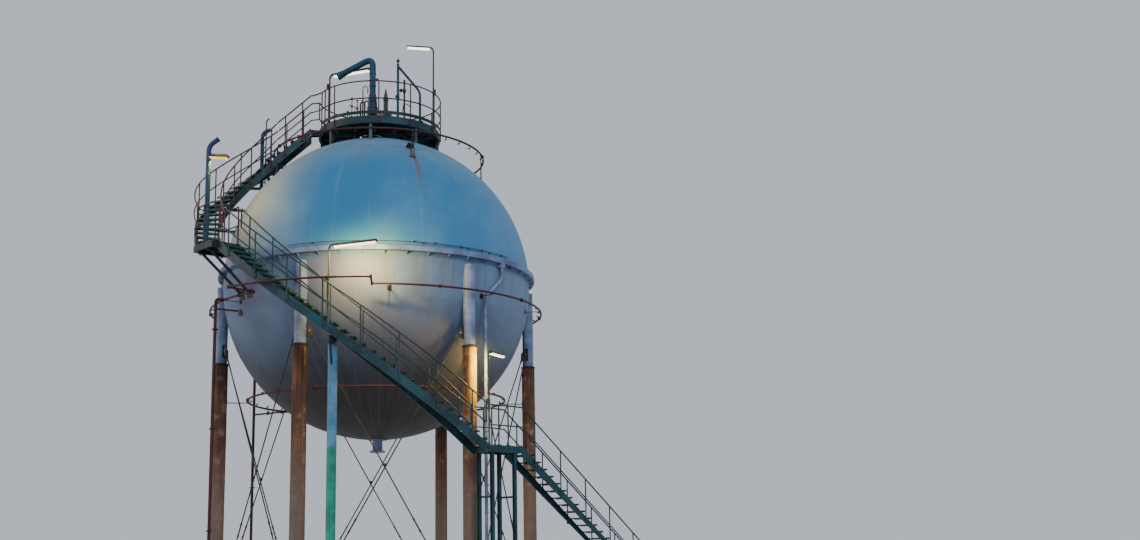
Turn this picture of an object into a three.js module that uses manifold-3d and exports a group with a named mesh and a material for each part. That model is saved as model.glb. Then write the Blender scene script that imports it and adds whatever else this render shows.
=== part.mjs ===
import * as THREE from 'three';
import { mergeVertices } from 'three/addons/utils/BufferGeometryUtils.js';
import Module from 'manifold-3d';

// Spherical gas tank with its legs, spray rings, stair and top platform. Millimetres, +Z up.
// Plan positions are polar about the tank's axis: a radius, and a bearing in degrees that is
// 0 towards -Y and grows towards +X.

const wasm = await Module();
wasm.setup();

// Fit
const GAP = 0.3;

// Vessel
const TANK_RADIUS = 4950;
const WALL = 36;
const CENTRE_HEIGHT = 10450;
const SHELL_SIDES = 40;
const CROWN_LATITUDE = 60;
const LATITUDE_STEP = 10;

// Legs
const LEG_BEARINGS = [-18.5, 41.5, 101.5, 161.5, 221.5, 281.5];
const LEG_RADIUS = 178;
const LEG_TOP = CENTRE_HEIGHT - 70;
const LEG_SIDES = 12;
const BASE_WIDTH = 720;
const BASE_THICKNESS = 40;
const CASING_RADIUS = 215;
const CASING_TOP = 7925;
const COLLAR_RADIUS = 232;
const COLLAR_HEIGHT = 70;
const ROD_RADIUS = 22;
const ROD_HIGH = 8300;
const ROD_LOW = 450;

// Rain gutter above the equator
const GUTTER_RADIUS = 5123;
const GUTTER_FLOOR = CENTRE_HEIGHT + 150;
const GUTTER_LIP = 148;
const GUTTER_PLATE = 12;
const FRONT_GUTTER = 1200;
const DRAIN_RADIUS = 50;
const DRAIN_BEARING = 56.5;
const DRAIN_DROP_BEARING = 48.6;

// Water spray rings
const SPRAY_PIPE = 32;
const RING_TOP = { radius: 0.7 * TANK_RADIUS, height: CENTRE_HEIGHT + 0.887 * TANK_RADIUS };
const RING_MIDDLE = { radius: 1.08 * TANK_RADIUS, height: CENTRE_HEIGHT - 0.185 * TANK_RADIUS };
const RING_LOWER = { radius: 0.83 * TANK_RADIUS, height: CENTRE_HEIGHT - 0.755 * TANK_RADIUS };
const DETOUR_RADIUS = 1.27 * TANK_RADIUS;
const DETOUR_FROM = -34.7;
const DETOUR_TO = 6.5;
const FEED_BEARING = -52;
const RISER_BEARING = -122;
const RISER_RADIUS = 1.13 * TANK_RADIUS;
const RISER_PIPE = 48;

// Stair
const STAIR_INNER = 1.1 * TANK_RADIUS;
const STAIR_OUTER = 1.25 * TANK_RADIUS;
const STRINGER_DEPTH = 300;
const STRINGER_THICKNESS = 60;
const NOSING_COVER = 40;
const TREAD_THICKNESS = 40;
const TREAD_OVERLAP = 30;
const LANDING_LOW = 4860;
const LANDING_MIDDLE = 11045;
const UPPER_HEAD = 14750;
const DECK_HEIGHT = 15745;
const LANDING_DEPTH = 200;
const LANDING_PLATE = 40;
const FLIGHT_1 = { from: -41, to: 39 };
const HALF_WIDTH = (STAIR_OUTER - STAIR_INNER) / 2;
const LANDING_LOW_END = 50;
const GROUND_HEADING = 46;
const GROUND_RUN = 6360;
const FLIGHT_2 = { from: -171.1, to: -51 };
const FLIGHT_2_RADIUS = 0.391 * TANK_RADIUS;
const TOP_RUN = 0.221 * TANK_RADIUS;

// Handrails
const RAIL_RADIUS = 25;
const RAIL_SIDES = 4;
const PIPE_SIDES = 5;
const RAIL_HEIGHT = 1160;
const POST_FOOT = 170;

// Top platform
const DECK_RADIUS = 0.407 * TANK_RADIUS;
const INNER_BEAM = 0.165 * TANK_RADIUS;
const DECK_PLATE = 40;
const RING_BEAM_DEPTH = 200;
const RING_BEAM_WIDTH = 75;
const DECK_SIDES = 24;
const POLE_RADIUS = 30;

const SPHERE = [0, 0, CENTRE_HEIGHT];
const radians = THREE.MathUtils.degToRad;

const tank = new THREE.Group();

// Finishes
const FINISH = {
  shell: { color: 0xc9d2da, roughness: 0.5, metalness: 0.1 },
  concrete: { color: 0x7b5138, roughness: 0.95, metalness: 0 },
  steelwork: { color: 0x1f5a5c, roughness: 0.55, metalness: 0.2 },
  handrail: { color: 0x5b3346, roughness: 0.55, metalness: 0.2 },
  greenRail: { color: 0x2c6a62, roughness: 0.55, metalness: 0.2 },
  spray: { color: 0x6d1f22, roughness: 0.55, metalness: 0.2 },
  vent: { color: 0x1f5f7c, roughness: 0.5, metalness: 0.2 },
  lamp: { color: 0x55553c, roughness: 0.5, metalness: 0.3 },
};

// A closed geometry as a solid. Its faces are turned outwards if they point in.
function solid(geometry) {
  const plain = geometry.clone();
  plain.deleteAttribute('normal');
  plain.deleteAttribute('uv');
  const merged = mergeVertices(plain, 0.001);
  const vertProperties = new Float32Array(merged.attributes.position.array);
  const triVerts = new Uint32Array(merged.index.array);
  if (signedVolume(vertProperties, triVerts) < 0) {
    for (let i = 0; i < triVerts.length; i += 3) {
      const first = triVerts[i];
      triVerts[i] = triVerts[i + 1];
      triVerts[i + 1] = first;
    }
  }
  return new wasm.Manifold(new wasm.Mesh({ numProp: 3, vertProperties, triVerts }));
}

function signedVolume(positions, corners) {
  const a = new THREE.Vector3();
  const b = new THREE.Vector3();
  const c = new THREE.Vector3();
  let volume = 0;
  for (let i = 0; i < corners.length; i += 3) {
    a.fromArray(positions, corners[i] * 3);
    b.fromArray(positions, corners[i + 1] * 3);
    c.fromArray(positions, corners[i + 2] * 3);
    volume += a.dot(b.cross(c)) / 6;
  }
  return volume;
}

function join(solids) {
  return solids.reduce((whole, piece) => whole.add(piece));
}

// Adds a finished solid to the tank as a named mesh.
function add(name, body, finish) {
  const mesh = body.getMesh();
  const geometry = new THREE.BufferGeometry();
  geometry.setAttribute('position', new THREE.BufferAttribute(mesh.vertProperties, 3));
  geometry.setIndex(new THREE.BufferAttribute(mesh.triVerts, 1));
  geometry.computeVertexNormals();
  const part = new THREE.Mesh(geometry, new THREE.MeshStandardMaterial(FINISH[finish]));
  part.name = name;
  tank.add(part);
}

// Plan point at a radius and a bearing about the tank's axis.
function polar(radius, bearing) {
  return [radius * Math.sin(radians(bearing)), -radius * Math.cos(radians(bearing))];
}

// A plan point moved sideways, at right angles to a bearing.
function beside([x, y], bearing, distance) {
  return [x + distance * Math.cos(radians(bearing)), y + distance * Math.sin(radians(bearing))];
}

function polar3(radius, bearing, height) {
  return [...polar(radius, bearing), height];
}

// A plain upright cylinder or cone from one height to another.
function upright([x, y], low, high, radiusLow, radiusHigh = radiusLow, sides = LEG_SIDES, turn = 0) {
  const geometry = new THREE.CylinderGeometry(radiusHigh, radiusLow, high - low, sides);
  geometry.rotateX(Math.PI / 2);
  geometry.rotateZ(radians(turn));
  geometry.translate(x, y, (low + high) / 2);
  return solid(geometry);
}

// A solid of revolution about an upright axis, from [radius, height] points.
function turned(profile, sides, [x, y, z] = [0, 0, 0]) {
  const geometry = new THREE.LatheGeometry(profile.map(([r, h]) => new THREE.Vector2(r, h)), sides);
  geometry.rotateX(Math.PI / 2);
  geometry.translate(x, y, z);
  return solid(geometry);
}

// A box turned to a bearing: width runs across, length runs outwards.
function block([x, y], bearing, width, length, low, high) {
  const geometry = new THREE.BoxGeometry(width, length, high - low);
  geometry.rotateZ(radians(bearing));
  geometry.translate(x, y, (low + high) / 2);
  return solid(geometry);
}

// A prism from a plan outline.
function prism(outline, low, high, hole = null) {
  const shape = new THREE.Shape(outline.map(([x, y]) => new THREE.Vector2(x, y)));
  if (hole) {
    shape.holes.push(new THREE.Path(hole.map(([x, y]) => new THREE.Vector2(x, y))));
  }
  const geometry = new THREE.ExtrudeGeometry(shape, { depth: high - low, bevelEnabled: false });
  geometry.translate(0, 0, low);
  return solid(geometry);
}

// A line through points, so that an extrusion has one section at each of them.
class Route extends THREE.Curve {
  constructor(points) {
    super();
    this.points = points.map(([x, y, z]) => new THREE.Vector3(x, y, z));
  }

  getPoint(t, target = new THREE.Vector3()) {
    const last = this.points.length - 1;
    const place = Math.min(Math.max(t * last, 0), last);
    const index = Math.min(Math.floor(place + 1e-9), last - 1);
    return target.lerpVectors(this.points[index], this.points[index + 1], place - index);
  }

  getPointAt(u, target) {
    return this.getPoint(u, target);
  }

  getTangentAt(u, target = new THREE.Vector3()) {
    const last = this.points.length - 1;
    const index = Math.round(u * last);
    const before = this.points[Math.max(index - 1, 0)];
    const here = this.points[index];
    const after = this.points[Math.min(index + 1, last)];
    const arriving = new THREE.Vector3().subVectors(here, before).normalize();
    const leaving = new THREE.Vector3().subVectors(after, here).normalize();
    return target.addVectors(arriving, leaving).normalize();
  }
}

// A round bar or pipe through points.
function pipe(points, radius, sides = PIPE_SIDES) {
  const section = new THREE.Shape();
  for (let i = 0; i < sides; i += 1) {
    const angle = (i * 2 * Math.PI) / sides;
    const x = radius * Math.cos(angle);
    const y = radius * Math.sin(angle);
    if (i === 0) {
      section.moveTo(x, y);
    } else {
      section.lineTo(x, y);
    }
  }
  const settings = { extrudePath: new Route(points), steps: points.length - 1 };
  return solid(new THREE.ExtrudeGeometry(section, settings));
}

// Points of a corner rounded to a radius, for pipes that turn.
function rounded(points, bend, steps = 3) {
  const corners = points.map(([x, y, z]) => new THREE.Vector3(x, y, z));
  const result = [corners[0]];
  for (let i = 1; i < corners.length - 1; i += 1) {
    const back = new THREE.Vector3().subVectors(corners[i - 1], corners[i]);
    const ahead = new THREE.Vector3().subVectors(corners[i + 1], corners[i]);
    const reach = Math.min(bend, back.length() * 0.45, ahead.length() * 0.45);
    const start = corners[i].clone().addScaledVector(back.normalize(), reach);
    const end = corners[i].clone().addScaledVector(ahead.normalize(), reach);
    const arc = new THREE.QuadraticBezierCurve3(start, corners[i], end);
    result.push(...arc.getPoints(steps));
  }
  result.push(corners[corners.length - 1]);
  return result.map((point) => point.toArray());
}

// Bearings evenly spread over an arc.
function spread(from, to, count) {
  return Array.from({ length: count + 1 }, (unused, i) => from + ((to - from) * i) / count);
}

// The vessel

function meridian(radius, from, to, step) {
  const count = Math.max(Math.round((to - from) / step), 1);
  return spread(from, to, count).map((latitude) => [
    Math.abs(latitude) === 90 ? 0 : radius * Math.cos(radians(latitude)),
    radius * Math.sin(radians(latitude)),
  ]);
}

// One course of the hollow shell between two latitudes. A crown starts and ends on the axis.
function course(south, north) {
  const trim = THREE.MathUtils.radToDeg(GAP / 2 / TANK_RADIUS);
  const low = south === -90 ? south : south + trim;
  const high = north === 90 ? north : north - trim;
  const outside = meridian(TANK_RADIUS, low, high, LATITUDE_STEP);
  const inside = meridian(TANK_RADIUS - WALL, low, high, 2 * LATITUDE_STEP).reverse();
  let profile = [...outside, ...inside];
  if (north === 90) {
    profile = [...inside, ...outside];
  } else if (south !== -90) {
    profile.push(outside[0]);
  }
  return turned(profile, SHELL_SIDES, SPHERE);
}

// The shell's own facets and a fit gap: what stands on the shell is cut by this.
const shellSpace = turned(meridian(TANK_RADIUS + GAP * 1.05, -90, 90, LATITUDE_STEP), SHELL_SIDES, SPHERE);

add('bottom_crown', course(-90, -CROWN_LATITUDE), 'shell');
add('lower_course', course(-CROWN_LATITUDE, 0), 'shell');
add('upper_course', course(0, CROWN_LATITUDE), 'shell');
add('top_crown', course(CROWN_LATITUDE, 90), 'shell');

// Radius of the shell at a height, on its round form.
function shellRadius(height) {
  return Math.sqrt(TANK_RADIUS ** 2 - (height - CENTRE_HEIGHT) ** 2);
}

// Height of the shell's upper half at a radius.
function shellHeight(radius) {
  return CENTRE_HEIGHT + Math.sqrt(TANK_RADIUS ** 2 - radius ** 2);
}

// Bottom outlet: a short nozzle with its flange under the bottom crown.
const OUTLET_RADIUS = 160;
const OUTLET_FACE = CENTRE_HEIGHT - TANK_RADIUS - 420;
const FLANGE_RADIUS = 250;
const FLANGE_THICKNESS = 45;
add('bottom_outlet', join([
  upright([0, 0], OUTLET_FACE, CENTRE_HEIGHT - TANK_RADIUS + 60, OUTLET_RADIUS),
  upright([0, 0], OUTLET_FACE, OUTLET_FACE + FLANGE_THICKNESS, FLANGE_RADIUS),
]).subtract(shellSpace), 'shell');

// Rain gutter: a shelf round the shell with an upstand, in one long and one short length.
const gutterProfile = [
  [TANK_RADIUS - 60, GUTTER_FLOOR],
  [GUTTER_RADIUS, GUTTER_FLOOR],
  [GUTTER_RADIUS, GUTTER_FLOOR + GUTTER_LIP],
  [GUTTER_RADIUS - GUTTER_PLATE, GUTTER_FLOOR + GUTTER_LIP],
  [GUTTER_RADIUS - GUTTER_PLATE, GUTTER_FLOOR + GUTTER_PLATE],
  [TANK_RADIUS - 60, GUTTER_FLOOR + GUTTER_PLATE],
  [TANK_RADIUS - 60, GUTTER_FLOOR],
];
const gutter = turned(gutterProfile, SHELL_SIDES).subtract(shellSpace);
const frontSpace = (width) => block([0, -GUTTER_RADIUS], 0, width, GUTTER_RADIUS,
  GUTTER_FLOOR - GUTTER_LIP, GUTTER_FLOOR + 2 * GUTTER_LIP);
add('rain_gutter', gutter.subtract(frontSpace(FRONT_GUTTER + 2 * GAP)), 'shell');
add('front_gutter', gutter.intersect(frontSpace(FRONT_GUTTER)), 'shell');

// Drain: an outlet box under the gutter and a pipe down to the ground.
const DRAIN_BOX = 130;
const drainRoute = rounded([
  polar3(1.022 * TANK_RADIUS, DRAIN_BEARING, GUTTER_FLOOR - 60),
  polar3(1.022 * TANK_RADIUS, DRAIN_BEARING, CENTRE_HEIGHT - 0.07 * TANK_RADIUS),
  polar3(1.003 * TANK_RADIUS, DRAIN_DROP_BEARING, CENTRE_HEIGHT - 0.2 * TANK_RADIUS),
  polar3(1.003 * TANK_RADIUS, DRAIN_DROP_BEARING, 0),
], 260);
const drainBoxTop = GUTTER_FLOOR - GAP;
add('drain_pipe', join([
  pipe(drainRoute, DRAIN_RADIUS, 8),
  block(polar(1.022 * TANK_RADIUS, DRAIN_BEARING), DRAIN_BEARING, DRAIN_BOX * 1.4, DRAIN_BOX,
    drainBoxTop - DRAIN_BOX, drainBoxTop),
]).subtract(shellSpace), 'shell');

// Legs: a steel tube on a base plate, coped to the shell at the equator, in a concrete casing
const legSpace = LEG_RADIUS + GAP / Math.cos(Math.PI / LEG_SIDES);
LEG_BEARINGS.forEach((bearing, i) => {
  const foot = polar(TANK_RADIUS, bearing);
  const leg = join([
    upright(foot, BASE_THICKNESS / 2, LEG_TOP, LEG_RADIUS),
    block(foot, bearing, BASE_WIDTH, BASE_WIDTH, 0, BASE_THICKNESS),
  ]);
  add(`leg_${i + 1}`, leg.subtract(shellSpace), 'shell');
  const casingFoot = BASE_THICKNESS + GAP;
  const casing = [
    [legSpace, casingFoot],
    [CASING_RADIUS, casingFoot],
    [CASING_RADIUS, CASING_TOP - COLLAR_HEIGHT],
    [COLLAR_RADIUS, CASING_TOP - COLLAR_HEIGHT],
    [COLLAR_RADIUS, CASING_TOP],
    [legSpace, CASING_TOP],
    [legSpace, casingFoot],
  ];
  add(`leg_casing_${i + 1}`, turned(casing, LEG_SIDES, [...foot, 0]), 'concrete');
});

// Crossed rods between neighbouring legs, from plates on the tubes above the casings down to
// plates on the casings. They pass side by side and are joined where they cross.
const PLATE_THICKNESS = 50;
const HIGH_PLATE = { seat: LEG_RADIUS - 10, length: 190, depth: 360, height: ROD_HIGH };
const LOW_PLATE = { seat: CASING_RADIUS - 15, length: 260, depth: 260, height: ROD_LOW };
const ROD_SIDES = 4;
const ROD_OFFSET = 13;
LEG_BEARINGS.forEach((bearing, i) => {
  const here = new THREE.Vector2(...polar(TANK_RADIUS, bearing));
  const there = new THREE.Vector2(...polar(TANK_RADIUS, bearing + 60));
  const along = there.clone().sub(here).normalize();
  const heading = THREE.MathUtils.radToDeg(Math.atan2(along.y, along.x));
  const plates = [];
  const [high, low] = [HIGH_PLATE, LOW_PLATE].map(({ seat, length, depth, height }) =>
    [[here, 1], [there, -1]].map(([leg, side]) => {
      const middle = leg.clone().addScaledVector(along, side * (seat + length / 2));
      plates.push(block([middle.x, middle.y], heading, length, PLATE_THICKNESS,
        height - depth / 2, height + depth / 2));
      return [middle.x, middle.y, height];
    }));
  const aside = ([x, y, z], distance) => [x - along.y * distance, y + along.x * distance, z];
  const rods = [
    pipe([aside(high[0], ROD_OFFSET), aside(low[1], ROD_OFFSET)], ROD_RADIUS, ROD_SIDES),
    pipe([aside(low[0], -ROD_OFFSET), aside(high[1], -ROD_OFFSET)], ROD_RADIUS, ROD_SIDES),
  ];
  const legs = [here, there].map(({ x, y }) => join([
    upright([x, y], 0, CASING_TOP, CASING_RADIUS + GAP / Math.cos(Math.PI / LEG_SIDES)),
    upright([x, y], CASING_TOP, LEG_TOP, legSpace),
  ]));
  add(`bay_rods_${i + 1}`, join([...plates, ...rods]).subtract(join(legs)), 'shell');
});

// Water spray rings on stand-offs, and the riser that feeds them
const RING_STEP = 12;
const TEE_LENGTH = 130;
const TEE_RADIUS = 44;

function arc(radius, from, to, height, step = RING_STEP) {
  const count = Math.max(Math.round(Math.abs(to - from) / step), 1);
  return spread(from, to, count).map((bearing) => polar3(radius, bearing, height));
}

// A flat bar that stands out from the shell to a pipe.
function standOff(bearing, innerRadius, outerRadius, low, high, width = 60) {
  const middle = polar((innerRadius + outerRadius) / 2, bearing);
  return block(middle, bearing, width, outerRadius - innerRadius, low, high);
}

// The branch on a ring that the riser feeds.
function tee(ring) {
  return pipe([
    polar3(ring.radius, RISER_BEARING, ring.height),
    polar3(ring.radius + TEE_LENGTH, RISER_BEARING, ring.height),
  ], TEE_RADIUS, 8);
}

const TOP_RING_FROM = -68;
const TOP_RING_TO = 242;
const TOP_RING_POSTS = [-62, 25.7, 82, 136, 190, 239];
const TOP_RING_POST = 50;
const topRing = [
  pipe(arc(RING_TOP.radius, TOP_RING_FROM, TOP_RING_TO, RING_TOP.height), SPRAY_PIPE),
  tee(RING_TOP),
];
TOP_RING_POSTS.forEach((bearing) => {
  topRing.push(block(polar(RING_TOP.radius, bearing), bearing, TOP_RING_POST, TOP_RING_POST,
    shellHeight(RING_TOP.radius) - 120, RING_TOP.height));
});
add('top_spray_ring', join(topRing).subtract(shellSpace), 'spray');

// The middle ring steps out round the stair, where one clip holds it to the stringer.
const FLIGHT_FACET = 10;
const CLIP_FACET = FLIGHT_1.from + 1.5 * FLIGHT_FACET;
const CLIP_SIDEWAYS = 110;
const clipSeat = STAIR_OUTER * Math.cos(radians(FLIGHT_FACET / 2)) + GAP;
const clipFoot = beside(polar((clipSeat + DETOUR_RADIUS) / 2, CLIP_FACET), CLIP_FACET, CLIP_SIDEWAYS);
const middleRing = [
  pipe(arc(RING_MIDDLE.radius, DETOUR_TO, DETOUR_FROM + 360, RING_MIDDLE.height), SPRAY_PIPE),
  pipe([
    polar3(RING_MIDDLE.radius - 20, DETOUR_FROM, RING_MIDDLE.height),
    ...arc(DETOUR_RADIUS, DETOUR_FROM, DETOUR_TO, RING_MIDDLE.height),
    polar3(RING_MIDDLE.radius - 20, DETOUR_TO, RING_MIDDLE.height),
  ], SPRAY_PIPE),
  tee(RING_MIDDLE),
  pipe(rounded([
    polar3(RING_MIDDLE.radius, FEED_BEARING, RING_MIDDLE.height),
    polar3(RISER_RADIUS, FEED_BEARING, RING_MIDDLE.height),
    polar3(RISER_RADIUS, FEED_BEARING, 0),
  ], 120), RISER_PIPE, 8),
  block(clipFoot, CLIP_FACET, 60, DETOUR_RADIUS - clipSeat, RING_MIDDLE.height - 12, RING_MIDDLE.height + 12),
];
const MIDDLE_RING_STAYS = [12.2, 48, 84, 120, 156, 192, 228, 264, 309.7];
MIDDLE_RING_STAYS.forEach((bearing) => {
  middleRing.push(standOff(bearing, shellRadius(RING_MIDDLE.height) - 80, RING_MIDDLE.radius,
    RING_MIDDLE.height - 12, RING_MIDDLE.height + 12));
});
add('middle_spray_ring', join(middleRing).subtract(shellSpace), 'spray');

// The lower ring is a whole circle, held by an arm from each leg casing.
const ringSection = spread(0, 360, PIPE_SIDES).map((angle) => [
  RING_LOWER.radius + SPRAY_PIPE * Math.cos(radians(angle)),
  RING_LOWER.height + SPRAY_PIPE * Math.sin(radians(angle)),
]);
ringSection[PIPE_SIDES] = ringSection[0];
const lowerRing = [turned(ringSection, 360 / RING_STEP), tee(RING_LOWER)];
LEG_BEARINGS.forEach((bearing) => {
  lowerRing.push(standOff(bearing, RING_LOWER.radius - 10, TANK_RADIUS - CASING_RADIUS + 60,
    RING_LOWER.height - 15, RING_LOWER.height + 15));
});
const casingClear = CASING_RADIUS + GAP / Math.cos(Math.PI / LEG_SIDES);
const casingSpace = join(LEG_BEARINGS.map((bearing) =>
  upright(polar(TANK_RADIUS, bearing), 0, CASING_TOP - COLLAR_HEIGHT, casingClear)));
add('lower_spray_ring', join(lowerRing).subtract(casingSpace), 'spray');

// The riser climbs beside the tank and follows its curve up to the top ring.
const riserBends = spread(0, 48, 5).map((latitude) => polar3(
  RISER_RADIUS * Math.cos(radians(latitude)),
  RISER_BEARING,
  CENTRE_HEIGHT + RISER_RADIUS * Math.sin(radians(latitude)),
));
const riser = [
  pipe([
    polar3(RISER_RADIUS, RISER_BEARING, 0),
    ...riserBends,
    polar3(RING_TOP.radius + TEE_LENGTH + 160, RISER_BEARING, RING_TOP.height),
    polar3(RING_TOP.radius + TEE_LENGTH + GAP, RISER_BEARING, RING_TOP.height),
  ], RISER_PIPE, 8),
];
[RING_MIDDLE, RING_LOWER].forEach((ring) => {
  riser.push(pipe([
    polar3(RISER_RADIUS, RISER_BEARING, ring.height),
    polar3(ring.radius + TEE_LENGTH + GAP, RISER_BEARING, ring.height),
  ], SPRAY_PIPE));
});
const RISER_STAY = CENTRE_HEIGHT - 60;
riser.push(standOff(RISER_BEARING, TANK_RADIUS - 60, RISER_RADIUS, RISER_STAY - 12, RISER_STAY + 12));
add('spray_riser', join(riser).subtract(shellSpace), 'spray');

// Stair lines: each maps [across, along] to a plan point, with across to the right of along

function roundLine([centreX, centreY]) {
  return (across, along) => {
    const [x, y] = polar(across, along);
    return [centreX + x, centreY + y];
  };
}

function straightLine([startX, startY], heading) {
  const along = [Math.cos(radians(heading)), Math.sin(radians(heading))];
  return (across, distance) => [
    startX + along[0] * distance + along[1] * across,
    startY + along[1] * distance - along[0] * across,
  ];
}

// A bar that follows a stair line, rising evenly from one end to the other.
function bar(line, { from, to, inner, outer, drop, rise, startHeight, endHeight, steps }) {
  const geometry = new THREE.BoxGeometry(outer - inner, to - from, drop + rise, 1, steps, 1);
  geometry.translate((inner + outer) / 2, (from + to) / 2, (rise - drop) / 2);
  const place = geometry.attributes.position;
  for (let i = 0; i < place.count; i += 1) {
    const along = place.getY(i);
    const slope = startHeight + ((endHeight - startHeight) * (along - from)) / (to - from);
    const [x, y] = line(place.getX(i), along);
    place.setXYZ(i, x, y, slope + place.getZ(i));
  }
  return solid(geometry);
}

// Height of a flight's nosing line at a place along it.
function nosing(flight, along) {
  const share = (along - flight.from) / (flight.to - flight.from);
  return flight.startHeight + (flight.endHeight - flight.startHeight) * share;
}

function stringers(flight, growth = 0) {
  const { inner, outer } = flight;
  const side = (from, to) => bar(flight.line, {
    ...flight,
    inner: from - growth,
    outer: to + growth,
    drop: STRINGER_DEPTH - NOSING_COVER + growth * 1.4,
    rise: NOSING_COVER + growth * 1.4,
  });
  return [
    side(inner, inner + STRINGER_THICKNESS),
    side(outer - STRINGER_THICKNESS, outer),
  ];
}

const TREAD_LAP = 0.05;

// Two stringers with their treads between them.
function flightBody(flight) {
  const { line, from, to, inner, outer, risers } = flight;
  const pieces = stringers(flight);
  const high = Math.max(flight.startHeight, flight.endHeight);
  const low = Math.min(flight.startHeight, flight.endHeight);
  const upwards = flight.endHeight > flight.startHeight ? 1 : -1;
  const foot = upwards > 0 ? from : to;
  const going = (Math.abs(to - from) / risers) * upwards;
  for (let i = 1; i < risers; i += 1) {
    const top = low + ((high - low) * i) / risers;
    const front = foot + going * (i - 1 + 0.02);
    const back = foot + going * (i + TREAD_LAP);
    pieces.push(bar(line, {
      from: Math.min(front, back),
      to: Math.max(front, back),
      inner: inner + STRINGER_THICKNESS - TREAD_OVERLAP,
      outer: outer - STRINGER_THICKNESS + TREAD_OVERLAP,
      drop: TREAD_THICKNESS,
      rise: 0,
      startHeight: top,
      endHeight: top,
      steps: 1,
    }));
  }
  return join(pieces);
}

// The ends of a flight stop a fit gap short of the landings.
function fitted(flight, radius) {
  const trim = radius ? THREE.MathUtils.radToDeg(GAP / radius) : GAP;
  return { ...flight, from: flight.from + trim, to: flight.to - trim };
}

const tankLine = roundLine([0, 0]);
const curved = { line: tankLine, inner: STAIR_INNER, outer: STAIR_OUTER };
const lowerFlight = fitted({
  ...curved,
  ...FLIGHT_1,
  startHeight: LANDING_MIDDLE,
  endHeight: LANDING_LOW,
  steps: 8,
  risers: 31,
}, STAIR_INNER);
// The upper flight leaves the middle landing along the tank and turns in over the crown.
const upperFlight = fitted({
  line: roundLine(polar((STAIR_INNER + STAIR_OUTER) / 2 - FLIGHT_2_RADIUS, FLIGHT_2.to)),
  ...FLIGHT_2,
  inner: FLIGHT_2_RADIUS - HALF_WIDTH,
  outer: FLIGHT_2_RADIUS + HALF_WIDTH,
  startHeight: UPPER_HEAD,
  endHeight: LANDING_MIDDLE,
  steps: 10,
  risers: 18,
}, FLIGHT_2_RADIUS - HALF_WIDTH);
// The top flight goes straight on to the deck.
const [topFootX, topFootY] = upperFlight.line(FLIGHT_2_RADIUS, FLIGHT_2.from);
const topFlight = fitted({
  line: straightLine([
    topFootX - TOP_RUN * Math.cos(radians(FLIGHT_2.from)),
    topFootY - TOP_RUN * Math.sin(radians(FLIGHT_2.from)),
  ], FLIGHT_2.from),
  heading: FLIGHT_2.from,
  from: 0,
  to: TOP_RUN,
  inner: -HALF_WIDTH,
  outer: HALF_WIDTH,
  startHeight: DECK_HEIGHT,
  endHeight: UPPER_HEAD,
  steps: 1,
  risers: 5,
});
const GROUND_GAP = 120;
const groundStart = polar((STAIR_INNER + STAIR_OUTER) / 2, LANDING_LOW_END);
const groundFlight = {
  line: straightLine(groundStart, GROUND_HEADING),
  heading: GROUND_HEADING,
  from: GROUND_GAP + GAP,
  to: GROUND_GAP + GROUND_RUN,
  inner: -HALF_WIDTH,
  outer: HALF_WIDTH,
  startHeight: LANDING_LOW,
  endHeight: 0,
  steps: 1,
  risers: 24,
};

add('lower_curved_flight', flightBody(lowerFlight), 'steelwork');

// Brackets from the crown hold the upper flight.
const UPPER_BRACKETS = [-88, -118, -148];
const BRACKET_DEPTH = 80;
const upperBrackets = UPPER_BRACKETS.map((along) => {
  const [x, y] = upperFlight.line(upperFlight.outer - STRINGER_THICKNESS, along);
  const top = nosing(upperFlight, along) + NOSING_COVER - STRINGER_DEPTH + BRACKET_DEPTH;
  const bearing = THREE.MathUtils.radToDeg(Math.atan2(x, -y));
  return standOff(bearing, shellRadius(top) - 80, Math.hypot(x, y), top - BRACKET_DEPTH, top, 70);
});
add('upper_curved_flight', join([flightBody(upperFlight), ...upperBrackets])
  .subtract(shellSpace), 'steelwork');
add('top_flight', flightBody(topFlight), 'steelwork');
const GROUND_REACH = 15000;
const aboveGround = prism([
  [-GROUND_REACH, -GROUND_REACH],
  [GROUND_REACH, -GROUND_REACH],
  [GROUND_REACH, GROUND_REACH],
  [-GROUND_REACH, GROUND_REACH],
], 0, 2 * GROUND_REACH);
add('ground_flight', flightBody(groundFlight).intersect(aboveGround), 'steelwork');

// Landings: a plate on a frame of edge beams

// An outline moved inwards by a distance, for outlines that run anticlockwise.
function inset(outline, distance) {
  return outline.map((corner, i) => {
    const here = new THREE.Vector2(...corner);
    const before = new THREE.Vector2(...outline[(i + outline.length - 1) % outline.length]);
    const after = new THREE.Vector2(...outline[(i + 1) % outline.length]);
    const arriving = here.clone().sub(before).normalize();
    const leaving = after.sub(here).normalize();
    const normal = new THREE.Vector2(-arriving.y - leaving.y, arriving.x + leaving.x).normalize();
    const across = new THREE.Vector2(-arriving.y, arriving.x);
    here.addScaledVector(normal, distance / normal.dot(across));
    return [here.x, here.y];
  });
}

const BEAM_WIDTH = 75;

function landing(outline, top) {
  return join([
    prism(outline, top - LANDING_PLATE, top),
    prism(outline, top - LANDING_DEPTH, top - LANDING_PLATE / 2, inset(outline, BEAM_WIDTH)),
  ]);
}

function planArc(radius, from, to, count) {
  return spread(from, to, count).map((bearing) => polar(radius, bearing));
}

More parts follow.
